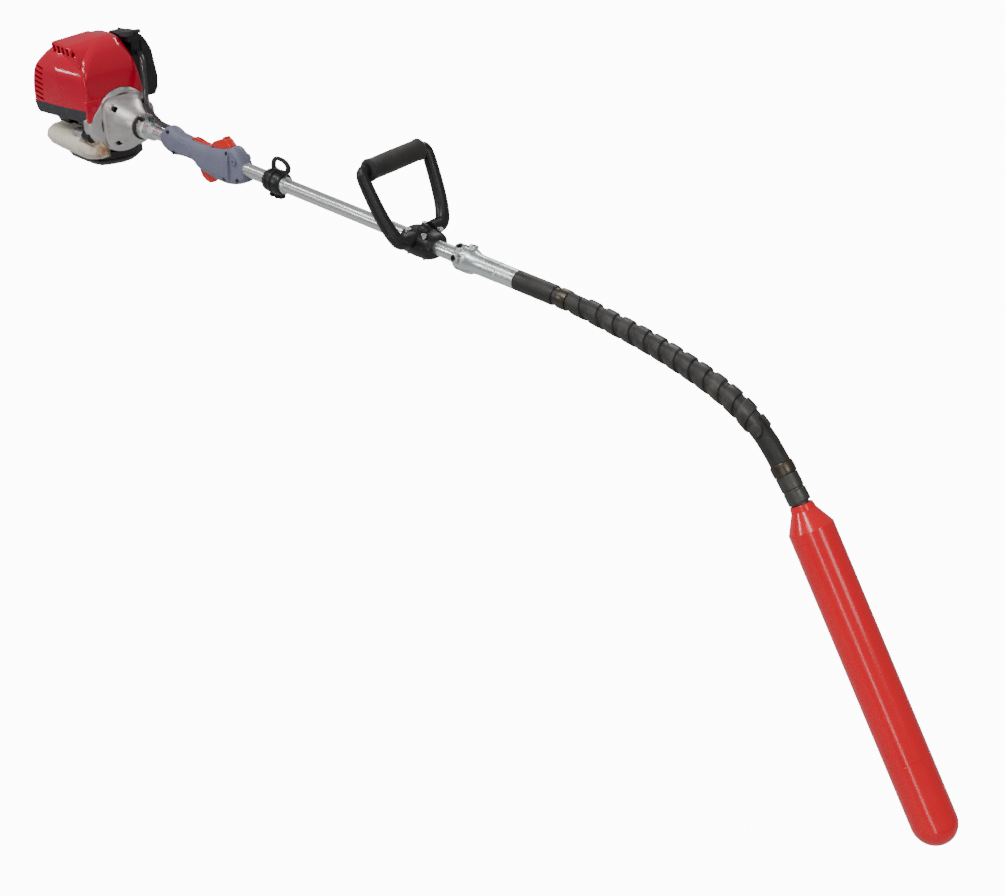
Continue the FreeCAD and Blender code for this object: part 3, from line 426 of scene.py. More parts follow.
def eased(levels, steps):
    """Levels of numbers joined by a smooth curve. A level is (height, [numbers])."""
    result = []
    for row in range(len(levels) - 1):
        before, here = levels[max(row - 1, 0)], levels[row]
        there, after = levels[row + 1], levels[min(row + 2, len(levels) - 1)]
        for step in range(steps):
            t = step / steps
            weights = (
                0.5 * (-t + 2 * t ** 2 - t ** 3), 0.5 * (2 - 5 * t ** 2 + 3 * t ** 3),
                0.5 * (t + 4 * t ** 2 - 3 * t ** 3), 0.5 * (-t ** 2 + t ** 3))
            rows = [before, here, there, after]
            height = sum(w * r[0] for w, r in zip(weights, rows))
            numbers = [sum(w * r[1][k] for w, r in zip(weights, rows)) for k in range(len(here[1]))]
            result.append((height, numbers))
    result.append(levels[-1])
    return result


def shell_rings(levels, steps, grow=0.0):
    """Rings of a shell whose levels are (height, [corner, corner, ...]), moved outwards by grow."""
    flat = [(z, [value for corner in corners for value in corner]) for z, corners in levels]
    rings = []
    for z, numbers in eased(flat, steps):
        corners = list(zip(numbers[0::3], numbers[1::3], numbers[2::3]))
        ring = rounded_ring(corners, z)
        if grow:
            ring = swollen(ring, grow)
        rings.append(ring)
    return rings


def swollen(ring, grow):
    """A ring moved outwards in its own plane."""
    count = len(ring)
    centre = sum(ring, Vector()) / count
    result = []
    for i in range(count):
        along = (ring[(i + 1) % count] - ring[i - 1]).normalized()
        outward = Vector((along.y, -along.x, 0))
        if outward.dot(ring[i] - centre) < 0:
            outward.negate()
        result.append(ring[i] + outward * grow)
    return result


def solid(rings):
    return skin([[at(*p) for p in ring] for ring in rings])


def mesh_of(build):
    """The mesh that a bmesh holds; the bmesh is freed."""
    mesh = bpy.data.meshes.new("mesh")
    build.to_mesh(mesh)
    build.free()
    return mesh


def bevel_edges(build, width, segments):
    bmesh.ops.bevel(build, geom=build.edges[:], offset=width / 1000, segments=segments, profile=0.5,
                    affect="EDGES", clamp_overlap=True)


def bevelled(mesh, width, segments):
    build = bmesh.new()
    build.from_mesh(mesh)
    bevel_edges(build, width, segments)
    build.to_mesh(mesh)
    build.free()
    return mesh


def box_mesh(x, y, z, bevel=0.0):
    """A box between limits, in millimetres in the pole frame, with rounded edges."""
    build = bmesh.new()
    bmesh.ops.create_cube(build, size=1.0)
    low, high = at(x[0], y[0], z[0]), at(x[1], y[1], z[1])
    for vertex in build.verts:
        vertex.co = Vector(low[k] + (vertex.co[k] + 0.5) * (high[k] - low[k]) for k in range(3))
    if bevel:
        bevel_edges(build, bevel, 3)
    return mesh_of(build)


def rod_mesh(start, end, radius, segments=48, end_radius=None):
    """A round bar between two points, in millimetres in the pole frame."""
    build = bmesh.new()
    axis = Vector(end) - Vector(start)
    turn = axis.to_track_quat("Z", "Y").to_matrix().to_4x4()
    place = Matrix.Translation((at(*start) + at(*end)) / 2) @ turn
    bmesh.ops.create_cone(
        build, cap_ends=True, segments=segments, radius1=radius / 1000,
        radius2=(end_radius or radius) / 1000, depth=axis.length / 1000, matrix=place)
    return mesh_of(build)


def pole_rod(low, high, radius, segments=96, end_radius=None):
    """A round bar along the pole's axis."""
    return rod_mesh((low, 0, 0), (high, 0, 0), radius, segments, end_radius)


def full_turn(steps):
    return [2 * math.pi * step / steps for step in range(steps)]


def squircle_reach(angle, power):
    """Distance to the edge of a rounded square: power 2 is a circle, and a higher one is squarer."""
    return (abs(math.cos(angle)) ** power + abs(math.sin(angle)) ** power) ** (-1 / power)


def lathe(profile):
    """A solid of revolution about the pole's axis. The profile is (x, radius) pairs."""
    return solid([[Vector((x, radius * math.cos(a), radius * math.sin(a))) for a in full_turn(96)]
                  for x, radius in profile])


def round_x(mesh, degrees):
    """The mesh turned about the pole's axis."""
    to_pole = Matrix.Translation(EYE / 1000)
    turn = Matrix.Rotation(math.radians(degrees), 4, "X")
    mesh.transform(to_pole.inverted() @ turn @ to_pole)
    return mesh


def extrude_mesh(corners, y_low, y_high, lift=0.0):
    """A plate drawn in X-Z between two sides. The lift raises the far side."""
    near = [at(x, y_low, z) for x, z in corners]
    far = [at(x, y_high, z + lift) for x, z in corners]
    return skin([near, far])


def carved(mesh, tools, operation="DIFFERENCE"):
    """The mesh after a boolean with each tool mesh."""
    base = new_object("carving", mesh)
    helpers = [new_object("tool", tool) for tool in tools]
    for helper in helpers:
        cut = base.modifiers.new("cut", "BOOLEAN")
        cut.operation = operation
        cut.solver = "EXACT"
        cut.object = helper
    bpy.context.view_layer.update()
    result = bpy.data.meshes.new_from_object(base.evaluated_get(bpy.context.evaluated_depsgraph_get()))
    for item in [base] + helpers:
        bpy.data.objects.remove(item)
    return result


def finished(item, bevel=0.8, angle=40):
    """Round a piece's sharp edges and keep its flat faces flat."""
    edge = item.modifiers.new("bevel", "BEVEL")
    edge.width = bevel / 1000
    edge.segments = 3
    edge.limit_method = "ANGLE"
    edge.angle_limit = math.radians(angle)
    item.modifiers.new("normals", "WEIGHTED_NORMAL").keep_sharp = True


# -------------------------------------------- engine cover

# Each level is its height and six corners, as (x, y, radius): front near, near side, rear near,
# rear far, far side, front far.
COVER_LEVELS = [
    (30, [(-112, -76, 8), (-172, -92, 60), (-252, -106, 13),
          (-252, 45, 14), (-184, 55, 60), (-117, 57, 12)]),
    (60, [(-112, -75, 9), (-172, -94, 50), (-250, -106, 14),
          (-250, 45, 14), (-184, 56, 60), (-119, 56, 14)]),
    (92, [(-113, -72, 11), (-175, -94, 42), (-247, -100, 17),
          (-247, 45, 16), (-184, 55, 50), (-122, 53, 20)]),
    (113, [(-120, -60, 16), (-180, -85, 36), (-237, -87, 21),
           (-240, 44, 20), (-184, 52, 40), (-128, 47, 26)]),
    (130, [(-132, -42, 20), (-182, -66, 30), (-225, -68, 22),
           (-226, 43, 20), (-186, 49, 30), (-137, 40, 28)]),
    (141, [(-148, -23, 18), (-182, -38, 24), (-210, -43, 18),
           (-212, 36, 18), (-186, 40, 26), (-148, 34, 22)]),
    (146, [(-164, -4, 9), (-183, -12, 16), (-200, -16, 9),
           (-202, 26, 9), (-186, 28, 16), (-162, 25, 9)]),
]
COVER_WALL = 2.4


def engine_arches():
    """Round openings in the cover for the fan housing and the starter."""
    return [pole_rod(-160, -100, 62.4), pole_rod(-280, -222, 54.4)]


def engine_cover():
    """Red shell: a dome with a raised vent panel, slots at the rear, two arches and a front lip."""
    outer = solid(shell_rings(COVER_LEVELS, 7))
    inner_levels = [(z - COVER_WALL, corners) for z, corners in COVER_LEVELS]
    inner = solid(shell_rings(inner_levels, 4, grow=-COVER_WALL))
    panel = extrude_mesh(
        [(-211, 112), (-212, 139), (-205, 142), (-160, 140.5), (-146, 134.5), (-135, 123), (-126, 109),
         (-133, 96), (-150, 92)], -72, 8, lift=6)
    panel_room = extrude_mesh(
        [(-208, 112), (-209, 137), (-162, 137), (-149, 131), (-138, 120), (-153, 98)], -69, 5, lift=5.5)
    lip = box_mesh((-119, -110.5), (-77.5, -45), (9, 50), 2.0)
    shell = carved(outer, [bevelled(panel, 6, 6), lip], "UNION")
    cleaner_opening = box_mesh((-232, -140), (30, 70), (10, 104))
    cuts = [inner, panel_room, *engine_arches(), cleaner_opening]
    for row in range(7):
        z = 34 + 9.6 * row
        slot = [(-236, z + 4.6), (-236, z + 8.4), (-217 + row, z + 3.8), (-217 + row, z)]
        cuts.append(extrude_mesh(slot, -120, -60))
    for column in range(5):
        x = -203 + 14 * column
        vent = [(x, 124), (x + 8, 124), (x + 5, 136.5), (x - 3, 136.5)]
        cuts.append(extrude_mesh(vent, -90, -66))
    return carved(shell, cuts)


piece("engine_cover", engine_cover(), "frame", "red_cover", ["top_cover"], smooth=32)


def band_solid(levels):
    """The cover's lowest outline, stacked at (height, how far it stands out) levels."""
    return solid([swollen(rounded_ring(COVER_LEVELS[0][1], z), grow) for z, grow in levels])


def cover_band():
    """Grey band round the cover's lower edge, open where the engine passes through it."""
    outer = band_solid([(31.5, 0.6), (29, 1.4), (14, -1), (8, -4.5)])
    inner = band_solid([(33, -3), (10, -7)])
    front_opening = box_mesh((-124, -100), (-77, 70), (0, 40))
    far_opening = box_mesh((-260, -100), (10, 70), (0, 40))
    return carved(outer, [inner, *engine_arches(), front_opening, far_opening])


finished(piece("cover_band", cover_band(), "frame", "dark_plastic", ["cover_skirt"], smooth=40))


# -------------------------------------------- engine castings

def scroll_radius(angle):
    """How far the fan housing swells at an angle: fully towards the near side, a little on the far side."""
    def ease(t):
        t = min(max(t, 0), 1)
        return t * t * (3 - 2 * t)
    far_angle = (angle + 180) % 360 - 180
    near = ease((angle - 130) / 45) * ease((242 - angle) / 62)
    return near + 0.5 * ease((far_angle + 45) / 35) * ease((26 - far_angle) / 16)


def scroll(x, radius, swell):
    ring = []
    for angle in range(0, 360, 3):
        reach = radius + swell * scroll_radius(angle)
        ring.append(at(x, reach * math.cos(math.radians(angle)), reach * math.sin(math.radians(angle))))
    return ring


def fan_scroll():
    rings = [(-156, 57, 0), (-153, 61, 0), (-136, 62, 2), (-130, 62, 12), (-127, 62, 17), (-119, 62, 18),
             (-114, 60, 17.5), (-110.5, 56, 15), (-109, 52, 8), (-108.8, 48, 0)]
    outer = skin([scroll(*ring) for ring in rings])
    return carved(outer, [pole_rod(-151, -104, 52), pole_rod(-160, -140, 14, 48)])


def squircle(x, half, power):
    """A ring between a circle (power 2) and a rounded square (a higher power)."""
    ring = []
    for angle in full_turn(96):
        reach = half * squircle_reach(angle, power)
        ring.append(at(x, reach * math.cos(angle), reach * math.sin(angle)))
    return ring


BOLT_SPOTS = [(y, z) for y in (-31.5, 31.5) for z in (-31.5, 31.5)]


def clutch_bell():
    """Bell from the square flange to the round snout, with a boss round each bolt."""
    rings = [(-109, 49, 4.5), (-108.6, 50, 4.5), (-102, 50, 4.5), (-101.2, 49.2, 4.5), (-100.6, 46.8, 4),
             (-96, 45.4, 3), (-90, 43.2, 2.5), (-83, 39.6, 2.2), (-76, 35.2, 2), (-69, 31, 2),
             (-62, 27.8, 2), (-57, 26.2, 2), (-55, 25.6, 2), (-54.2, 24.4, 2)]
    bell = skin([squircle(*ring) for ring in rings])
    bosses = [rod_mesh((-108, y, z), (-93, y, z), 8.6, 32) for y, z in BOLT_SPOTS]
    shell = carved(bell, [bevelled(boss, 1.2, 2) for boss in bosses], "UNION")
    cuts = [pole_rod(-110, -96, 41.6), pole_rod(-97, -89, 41.6, end_radius=24), pole_rod(-90, -53, 12.6, 48)]
    cuts += [rod_mesh((-94.5, y, z), (-86, y, z), 5.7, 32) for y, z in BOLT_SPOTS]
    return carved(shell, cuts)


piece("fan_scroll", fan_scroll(), "frame", "cast_alloy", ["fan_housing"], smooth=38)
piece("clutch_bell", clutch_bell(), "frame", "cast_alloy", ["clutch_housing"], smooth=38)


# -------------------------------------------- tank and guard

# Each level is its height, front of the near lobe, rear, near side, far side and corner radius.
TANK_LEVELS = [
    (-84, -168, -238, -30, 50, 14), (-82, -160, -244, -40, 58, 18), (-77, -146, -253, -54, 70, 22),
    (-70, -130, -261, -69, 80, 26), (-60, -113, -268, -81, 87, 25), (-48, -103, -271, -87, 89, 25),
    (-36, -104, -268, -85, 87, 25), (-28, -113, -261, -78, 81, 22), (-23, -127, -250, -64, 71, 16),
]


def tank_ring(z, front, rear, near, far, radius):
    """One outline of the tank: its near lobe reaches further forward than the rest."""
    corners = [(front, near, radius), (rear, near, radius), (rear, far, radius),
               (front - 44, far, radius * 0.8), (front - 36, near + 66, radius * 0.6),
               (front, near + 36, radius * 0.4)]
    return rounded_ring(corners, z, arc_steps=9, side_steps=8)


def tank_body():
    """Blow-moulded tank, hollowed for the fan housing, the crankcase and the starter, with a filler neck."""
    body = solid([tank_ring(*level) for level in TANK_LEVELS])
    body = carved(body, [rod_mesh((-200, 78, -60), (-200, 98, -60), 15)], "UNION")
    crankcase_room = box_mesh((-229, -149), (-42, 42), (-47, 10), 4)
    front_notch = rod_mesh((-150, -70, -25), (-100, -70, -25), 13)
    neck_bore = rod_mesh((-200, 76, -60), (-200, 99, -60), 12)
    return carved(body, [
        pole_rod(-160, -90, 65), pole_rod(-290, -222, 56), crankcase_room, front_notch, neck_bore])


GUARD_OUTLINE = [(-242, -51), (-172, -52), (-148, -43), (-137, -20), (-132, 4), (-135, 28), (-148, 50),
                 (-186, 70), (-242, 68)]
APRON_OUTLINE = [(-166, -44), (-150, -40), (-139, -18), (-134, 6), (-137, 32), (-150, 56), (-168, 60)]
# Each level is its height and how far the edge stands out from the outline.
GUARD_LEVELS = [(-93, -9), (-91.5, -7), (-86, -1.5), (-83.5, 0), (-81.5, 0), (-81, -1)]


def guard_body():
    """Black tray under the tank, with a bowed front that stands up behind the tank's near lobe."""
    ring = [Vector((x, y, 0)) for x, y in GUARD_OUTLINE]
    tray = solid([[Vector((p.x, p.y, z)) for p in swollen(ring, grow)] for z, grow in GUARD_LEVELS])
    apron = solid([[Vector((x, y, z)) for x, y in APRON_OUTLINE] for z in (-84, -67)])
    shell = carved(tray, [apron], "UNION")
    bed = solid([swollen(tank_ring(*level), 0.4) for level in TANK_LEVELS[:5]])
    return carved(shell, [bed])


finished(piece("tank_body", tank_body(), "frame", "tank_cream", ["fuel_tank"], smooth=40), 1.2)
finished(piece("base_guard_shell", guard_body(), "frame", "black_gloss", ["base_guard"]), 1.0)


# -------------------------------------------- throttle cable

CABLE_ROUTE = [
    (-146, 71, 106), (-124, 63, 105), (-107, 50, 84), (-100, 45, 58), (-90, 38, 40), (-70, 27, 27),
    (-45, 19, 20), (-14, 9, 18.8), (8, 2, 19), (33, 2, 19)]

tube_piece("throttle_jacket", CABLE_ROUTE, CABLE_RADIUS, "cable_black", ["throttle_cable"])


# -------------------------------------------- throttle handle

# Each station is its distance along the pole, top, bottom and half width.
HANDLE_STATIONS = [
    (18.5, 9, -10, 11.5), (20, 12.5, -13.5, 13.2), (24, 17, -17.5, 14.2), (31, 22, -21, 14.8),
    (39, 26, -23.5, 15.2), (48, 27, -25, 15.6), (57, 24.5, -24.5, 15.6), (66, 20.5, -22.5, 15.2),
    (84, 19, -20.8, 14.8), (104, 18.2, -20.8, 14.8), (116, 18.6, -22.5, 15.6), (124, 19, -29, 16.6),
    (136, 19, -33, 17.4), (156, 19, -35.5, 18), (170, 22, -37.5, 18.4), (186, 24.5, -38, 18.6),
    (206, 28.5, -38, 18.6), (222, 34, -35, 18.6), (230, 36, -33, 18.2), (240, 29.5, -29.5, 17.2),
    (249, 19, -25.5, 15.8), (255, 8, -22.5, 14.6), (258.5, -4, -19.5, 12.8),
]
HANDLE_SCREWS = [(46, 19), (58, -17.5), (218, 23), (206, -27), (242, -20)]


def handle_ring(x, top, bottom, half):
    """A rounded-box outline of the handle at one place along the pole."""
    centre, tall = (top + bottom) / 2, (top - bottom) / 2
    ring = []
    for angle in full_turn(56):
        reach = squircle_reach(angle, 2.9)
        ring.append(Vector((x, half * reach * math.cos(angle), centre + tall * reach * math.sin(angle))))
    return ring


def handle_solid():
    levels = [(x, [top, bottom, half]) for x, top, bottom, half in HANDLE_STATIONS]
    return solid([handle_ring(x, *numbers) for x, numbers in eased(levels, 3)])


def handle_side(near_side):
    """One moulded half with its openings, screw wells, front step and boss."""
    outward = -1 if near_side else 1

    def sides(inner, outer):
        return sorted((inner * outward, outer * outward))

    step = extrude_mesh([(227, 60), (223, 10), (220, -45), (275, -45), (275, 60)], *sides(14.5, 40))
    other_half = box_mesh((0, 280), sides(-40, -0.25), (-60, 60))
    cable_hole = rod_mesh((5, 2, 19), (36, 2, 19), 5, 32)
    trigger_slot = box_mesh((116, 178), (-5.8, 5.8), (-60, -11), 0.6)
    lever_slot = box_mesh((104.3, 158), (-4.7, 4.7), (12.6, 40))
    switch_slot = box_mesh((165.5, 225), (-8.8, 8.8), (14, 60), 0.8)
    inner_room = box_mesh((126, 236), (-13, 13), (-24, 10), 2)
    shell = carved(handle_solid(), [
        other_half, pole_rod(5, 270, POLE_BORE, 64), cable_hole, trigger_slot, lever_slot, switch_slot,
        inner_room, bevelled(step, 1.2, 2)])
    boss = rod_mesh((238, 10 * outward, 14), (238, 18.4 * outward, 14), 6.2, 32)
    grip_pad = extrude_mesh([(64, 11), (104, 11), (112, 4), (112, -9), (100, -14), (64, -14)],
                            *sides(13, 15.9))
    shell = carved(shell, [bevelled(boss, 1.2, 3), bevelled(grip_pad, 1.4, 3)], "UNION")
    wells = []
    for x, z in HANDLE_SCREWS:
        wells.append(rod_mesh((x, 12.6 * outward, z), (x, 30 * outward, z), 3.6, 24))
    wells.append(rod_mesh((238, 15 * outward, 14), (238, 30 * outward, 14), 2.4, 24))
    return carved(shell, wells)


finished(piece("handle_near", handle_side(True), "frame", "handle_grey", ["handle_left"], smooth=40), 0.7)
finished(piece("handle_far", handle_side(False), "frame", "handle_grey", ["handle_right"], smooth=40), 0.7)


def lock_lever():
    outline = [(107, 16.4), (107.5, 19.5), (110, 22), (116, 24), (128, 23.4), (150, 19.6), (155, 17.5),
               (156, 14.2)]
    blade = bevelled(extrude_mesh(outline, -4.2, 4.2), 1.2, 3)
    groove = bevelled(box_mesh((119, 143), (-1.6, 1.6), (17, 40)), 0.4, 1)
    return carved(blade, [groove])


def switch_rocker():
    """Domed rocker with a raised thumb ridge."""
    outline = [(168, 21), (168.5, 27), (172, 31), (185, 37), (197, 42), (205, 44.5), (210, 43), (216, 38),
               (221.5, 34.5), (222, 30), (208, 26), (203, 19), (188, 19)]
    body = bevelled(extrude_mesh(outline, -8, 8), 2.4, 4)
    ridge = bevelled(box_mesh((200, 206), (-7, 7), (40, 46.2)), 1.4, 3)
    return carved(body, [ridge], "UNION")


def trigger_blade():
    outline = [(120, -30), (122, -38), (127, -46.5), (136, -51), (147, -53), (156, -50), (163, -44),
               (174, -37), (174, -25), (150, -24), (122, -26)]
    return bevelled(extrude_mesh(outline, -5.2, 5.2), 1.8, 4)


piece("lock_lever", lock_lever(), "lockout", "signal_red", ["lockout_lever"], smooth=45)
piece("switch_rocker", switch_rocker(), "stop_rocker", "signal_red", ["stop_switch"], smooth=45)
piece("trigger_blade", trigger_blade(), "trigger", "signal_red", ["throttle_trigger"], smooth=45)


# -------------------------------------------- loop handle

LOOP_X, LOOP_LEAN = 690.6, math.radians(29.7)


def on_loop(across, height, depth=0.0):
    """A point in the loop's own plane, which leans back towards the engine."""
    x = LOOP_X - height * math.sin(LOOP_LEAN) + depth * math.cos(LOOP_LEAN)
    z = height * math.cos(LOOP_LEAN) + depth * math.sin(LOOP_LEAN)
    return Vector((x, across, z))


def far_rise(across):
    """The grip climbs a little towards its far end."""
    return 6 * min(max(across + 57, 0) / 114, 1)


def loop_tube():
    """Bent tube, thicker where it flows into the bracket."""
    half = [(20, 12), (34, 12), (49, 13), (59, 34), (66, 70), (69.5, 104), (71, 125), (65, 133), (50, 131)]
    spots = [(across, height + far_rise(across)) for across, height in half]
    spots += [(-across, height) for across, height in half[::-1]]
    swell = [1.2, 1.2, 1.12, 1.06, 1.03, 1, 0.95, 0.9, 0.9]
    item = route_curve("loop_line", [on_loop(*spot) for spot in spots], LOOP_RADIUS)
    for control, factor in zip(item.data.splines[0].points, swell + swell[::-1]):
        control.radius = factor
    mesh = bpy.data.meshes.new_from_object(item)
    bpy.data.objects.remove(item)
    return mesh


piece("loop_tube", loop_tube(), "frame", "black_gloss", ["loop_handle"], smooth=60)


def grip_foam():
    """Foam sleeve, slightly waisted, with a rolled rim at each end."""
    end = [(57, 9), (57.5, 13), (57, 15.8), (55, 17.2), (52.5, 17.3), (50, 16.3), (30, 16.3)]
    profile = [(-across, radius) for across, radius in end] + [(0, 16.6)] + end[::-1]
    rings = []
    for across, radius in profile:
        ring = []
        for angle in full_turn(48):
            height = GRIP_HEIGHT + far_rise(across) + radius * math.cos(angle)
            ring.append(on_loop(across, height, radius * math.sin(angle)))
        rings.append(ring)
    return solid(rings)


piece("grip_foam", grip_foam(), "frame", "foam", ["grip_sleeve"], smooth=50)


def bracket_shell(upper):
    """One rounded half of the bracket, with wells for its four screws."""
    stations = [(655, 20, 15, 15), (658, 23.5, 18, 19), (664, 26, 20, 21), (687, 28, 22, 22),
                (710, 26, 20, 21), (716, 23.5, 18, 19), (719, 20, 15, 15)]
    rings = []
    for x, half, top, bottom in stations:
        ring = []
        for angle in full_turn(64):
            reach = squircle_reach(angle, 2.6)
            tall = top if math.sin(angle) > 0 else bottom
            ring.append(Vector((x, half * reach * math.cos(angle), tall * reach * math.sin(angle))))
        rings.append(ring)
    body = solid(rings)
    other_half = box_mesh((640, 730), (-40, 40), (-40, 0.3) if upper else (-0.3, 40))
    cuts = [pole_rod(640, 730, POLE_BORE, 64), other_half]
    cuts += [rod_mesh((x, y, 15.5), (x, y, 40), 6, 32) for x in (672, 706) for y in (-18, 18)]
    if upper:
        build = bmesh.new()
        bmesh.ops.create_uvsphere(build, u_segments=40, v_segments=20, radius=0.0115,
                                  matrix=Matrix.Translation(at(689, 0, 19)))
        body = carved(body, [mesh_of(build)], "UNION")
    return carved(body, cuts)


finished(piece("bracket_top", bracket_shell(True), "frame", "black_gloss", ["bracket_upper"], smooth=40))
finished(piece("bracket_base", bracket_shell(False), "frame", "black_gloss", ["bracket_lower"], smooth=40))


# -------------------------------------------- harness clamp

def harness_shell():
    """Ribbed clamp with a wide thin eye on top and a split ear underneath."""
    profile = [(314, 11), (314, 16.5), (317, 19.4), (325, 20.4), (326, 18.8), (329, 18.8), (330, 20.8),
               (336, 20.8), (337, 18.8), (340, 18.8), (341, 20.6), (350, 20.2), (355, 17.8), (356, 16),
               (356, 11)]
    eye = extrude_mesh([(324, 13), (325, 32), (328.5, 40), (334, 45), (341, 46.6), (355, 46.2), (363, 44),
                        (369, 39), (371.5, 33), (369, 25), (356, 14)], -3, 3)
    opening = extrude_mesh([(331, 26), (332, 34), (336.5, 39.6), (342, 41.4), (354, 41), (360.5, 38.6),
                            (364, 34), (362, 28), (355, 24.6), (337, 23.5)], -6, 6)
    ear = box_mesh((322, 349), (-6, 6), (-27, -15), 1.6)
    ring = carved(bevelled(eye, 1.2, 3), [bevelled(opening, 1.2, 3)])
    shell = carved(lathe(profile), [ring, ear], "UNION")
    ear_slit = box_mesh((312, 360), (-0.8, 0.8), (-30, -10))
    return carved(shell, [pole_rod(310, 370, POLE_BORE), ear_slit])


finished(piece("harness_shell", harness_shell(), "frame", "black_gloss", ["harness_clamp"], smooth=40), 0.6)
liner = carved(lathe([(352, 11), (352, 14.8), (359, 14.8), (360.5, 13.4), (360.5, 11)]),
               [pole_rod(340, 370, POLE_BORE)])
piece("clamp_liner", liner, "frame", "pole_alloy", smooth=40)


# -------------------------------------------- coupling and screws

# Each boss of the coupling is its place along the pole and its angle from the far side towards the top.
COUPLING_BOSSES = [(773, 163), (773, 112), (788, 72)]


def upright_rod(x, low, high, radius, degrees):
    """A round bar that stands out from the pole's axis at an angle."""
    return round_x(rod_mesh((x, low, 0), (x, high, 0), radius, 32), degrees)


def coupling_shell():
    """Split clamp hub with three screw bosses, flowing into a long neck."""
    profile = [(765, 11), (765, 17), (766.5, 19.2), (769, 20.4), (790, 20.4), (795, 19.4), (800, 17),
               (806, 15.9), (814, 15.6), (847.6, 15.6), (848.6, 14.7), (850, 14.7), (850, 11)]
    bosses = [bevelled(upright_rod(x, 10, 24.5, 7.4, angle), 1.4, 3) for x, angle in COUPLING_BOSSES]
    shell = carved(lathe(profile), bosses, "UNION")
    slits = [round_x(box_mesh((760.3, 801.7), (14, 30), (-0.6, 0.6)), angle) for angle in (208, 40)]
    shell = carved(shell, slits)
    cuts = [pole_rod(755, 796.4, POLE_BORE), pole_rod(795.2, 852, 8, 48)]
    cuts += [upright_rod(x, 20.7, 30, 4.6, angle) for x, angle in COUPLING_BOSSES]
    return carved(shell, cuts)


def socket_head():
    """A screw head with a hexagonal socket, standing along +Y from 0."""
    hexagon = rod_mesh((0, 2.1, 0), (0, 5.5, 0), 2.4, 6)
    return carved(rod_mesh((0, 0, 0), (0, 4.5, 0), 4.3, 40), [hexagon])


def all_screws():
    """Every black socket screw: clutch housing, tube collar, harness clamp and coupling."""
    build = bmesh.new()

    def add(spot, turn):
        mesh = socket_head()
        mesh.transform(Matrix.Translation(at(*spot)) @ turn @ Matrix.Translation(EYE / 1000))
        build.from_mesh(mesh)

    def about(axis, degrees):
        return Matrix.Rotation(math.radians(degrees), 4, axis)

    for y, z in BOLT_SPOTS:
        add((-94.5, y, z), about("Z", -90) @ Matrix.Scale(1.2, 4))
    add((-38, -9, 21.5), about("Z", 180))
    for x in (329, 342):
        add((x, -6, -21.5), about("Z", 180))
    for x, angle in COUPLING_BOSSES:
        outward = about("X", angle)
        add(Vector((x, 0, 0)) + outward @ Vector((0, 19.5, 0)), outward)
    return mesh_of(build)


piece("coupling_shell", coupling_shell(), "frame", "zinc", ["coupling_clamp"])
piece("socket_heads", all_screws(), "frame", "black_steel", ["socket_screws"])


# -------------------------------------------- starter rope

def starter_rope():
    """Cord from the reel through the guide to the grip."""
    drum = Vector((-260, 0, 0))
    pull = Vector((0, -0.616, 0.788))
    side = Vector((1, 0, 0))
    other = pull.cross(side)
    rings = []
    for step in range(81):
        spot = drum + pull * (29 + 61 * step / 80)
        rings.append([spot + 1.9 * (math.cos(a) * side + math.sin(a) * other) for a in full_turn(16)])
    item = new_object("starter_rope", solid(rings))
    item.data.materials.append(LOOKS["cable_black"])
    item.data.shade_smooth()
    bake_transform(item)


starter_rope()


# -------------------------------------------- softened edges of the CAD's own parts

SOFT_EDGES = {
    "coupling_sleeve": 0.6, "hose_socket": 0.6, "tube_collar": 1.0, "collar_ring": 0.6,
    "hose_ferrule": 0.6, "air_cleaner_case": 1.2, "air_cleaner_cover": 4.0, "cleaner_latch": 1.6,
    "recoil_housing": 1.2, "oil_cap": 1.0, "fuel_cap": 1.2, "muffler": 1.0, "carburettor": 0.6,
    "primer_bulb": 1.2, "head_connector": 0.5, "nose_cap": 0.3,
}
for node_name, width in SOFT_EDGES.items():
    finished(NODES[node_name], width, angle=28)


# -------------------------------------------- hose

HOSE_ROUTE = [
    Vector(spot) for spot in (
        (957, 0, 0), (1003, 0, 0), (1050, -7.5, 0.5), (1104, -19, 3.5), (1158.6, -33, 7),
        (1212.6, -48, 8.5), (1266.8, -63, 8), (1317, -76.5, 3), (1357, -86, -11.6))
] + [HOSE_END - 34 * FERRULE_DIRECTION, HOSE_END]

hose, hose_line = tube_piece("hose_tube", HOSE_ROUTE, HOSE_RADIUS, "rubber", ["hose"])
core_route = HOSE_ROUTE[:-1] + [HOSE_END + 48 * FERRULE_DIRECTION]
core = tube_piece("hose_core", core_route, CORE_RADIUS, "steel", ["flexible_core"])[0]


def walk(points):
    """A function that gives the place and the heading at a distance along a line."""
    marks = [0.0]
    for a, b in zip(points, points[1:]):
        marks.append(marks[-1] + (b - a).length)

    def where(distance):
        for i in range(1, len(marks)):
            if distance <= marks[i] or i == len(marks) - 1:
                share = (distance - marks[i - 1]) / max(marks[i] - marks[i - 1], 1e-6)
                return points[i - 1].lerp(points[i], share), (points[i] - points[i - 1]).normalized()
    return where


def across_hose(heading):
    """Two directions square to the hose: sideways and upwards."""
    side = heading.cross(Vector((0, 0, 1))).normalized()
    return side, side.cross(heading)


def spiral_band(points, start, end, turns, width, inner, outer):
    """A flat strip wound round the hose, tighter and narrower towards the head, with rounded shoulders."""
    where = walk(points)
    profile = [(0.0, inner), (0.03, outer - 0.5), (0.1, outer - 0.1), (0.5, outer), (0.9, outer - 0.1),
               (0.97, outer - 0.5), (1.0, inner)]
    steps = turns * 40
    rings = []
    for step in range(steps + 1):
        share = step / steps
        here = start + (end - start - width) * share
        angle = 2 * math.pi * turns * (0.82 * share + 0.18 * share ** 2)
        ring = []
        for across, radius in profile:
            spot, heading = where(here + across * width * (1 - 0.25 * share))
            side, up = across_hose(heading)
            ring.append(at(*(spot + radius * (math.cos(angle) * up + math.sin(angle) * side))))
        rings.append(ring)
    return skin(rings)


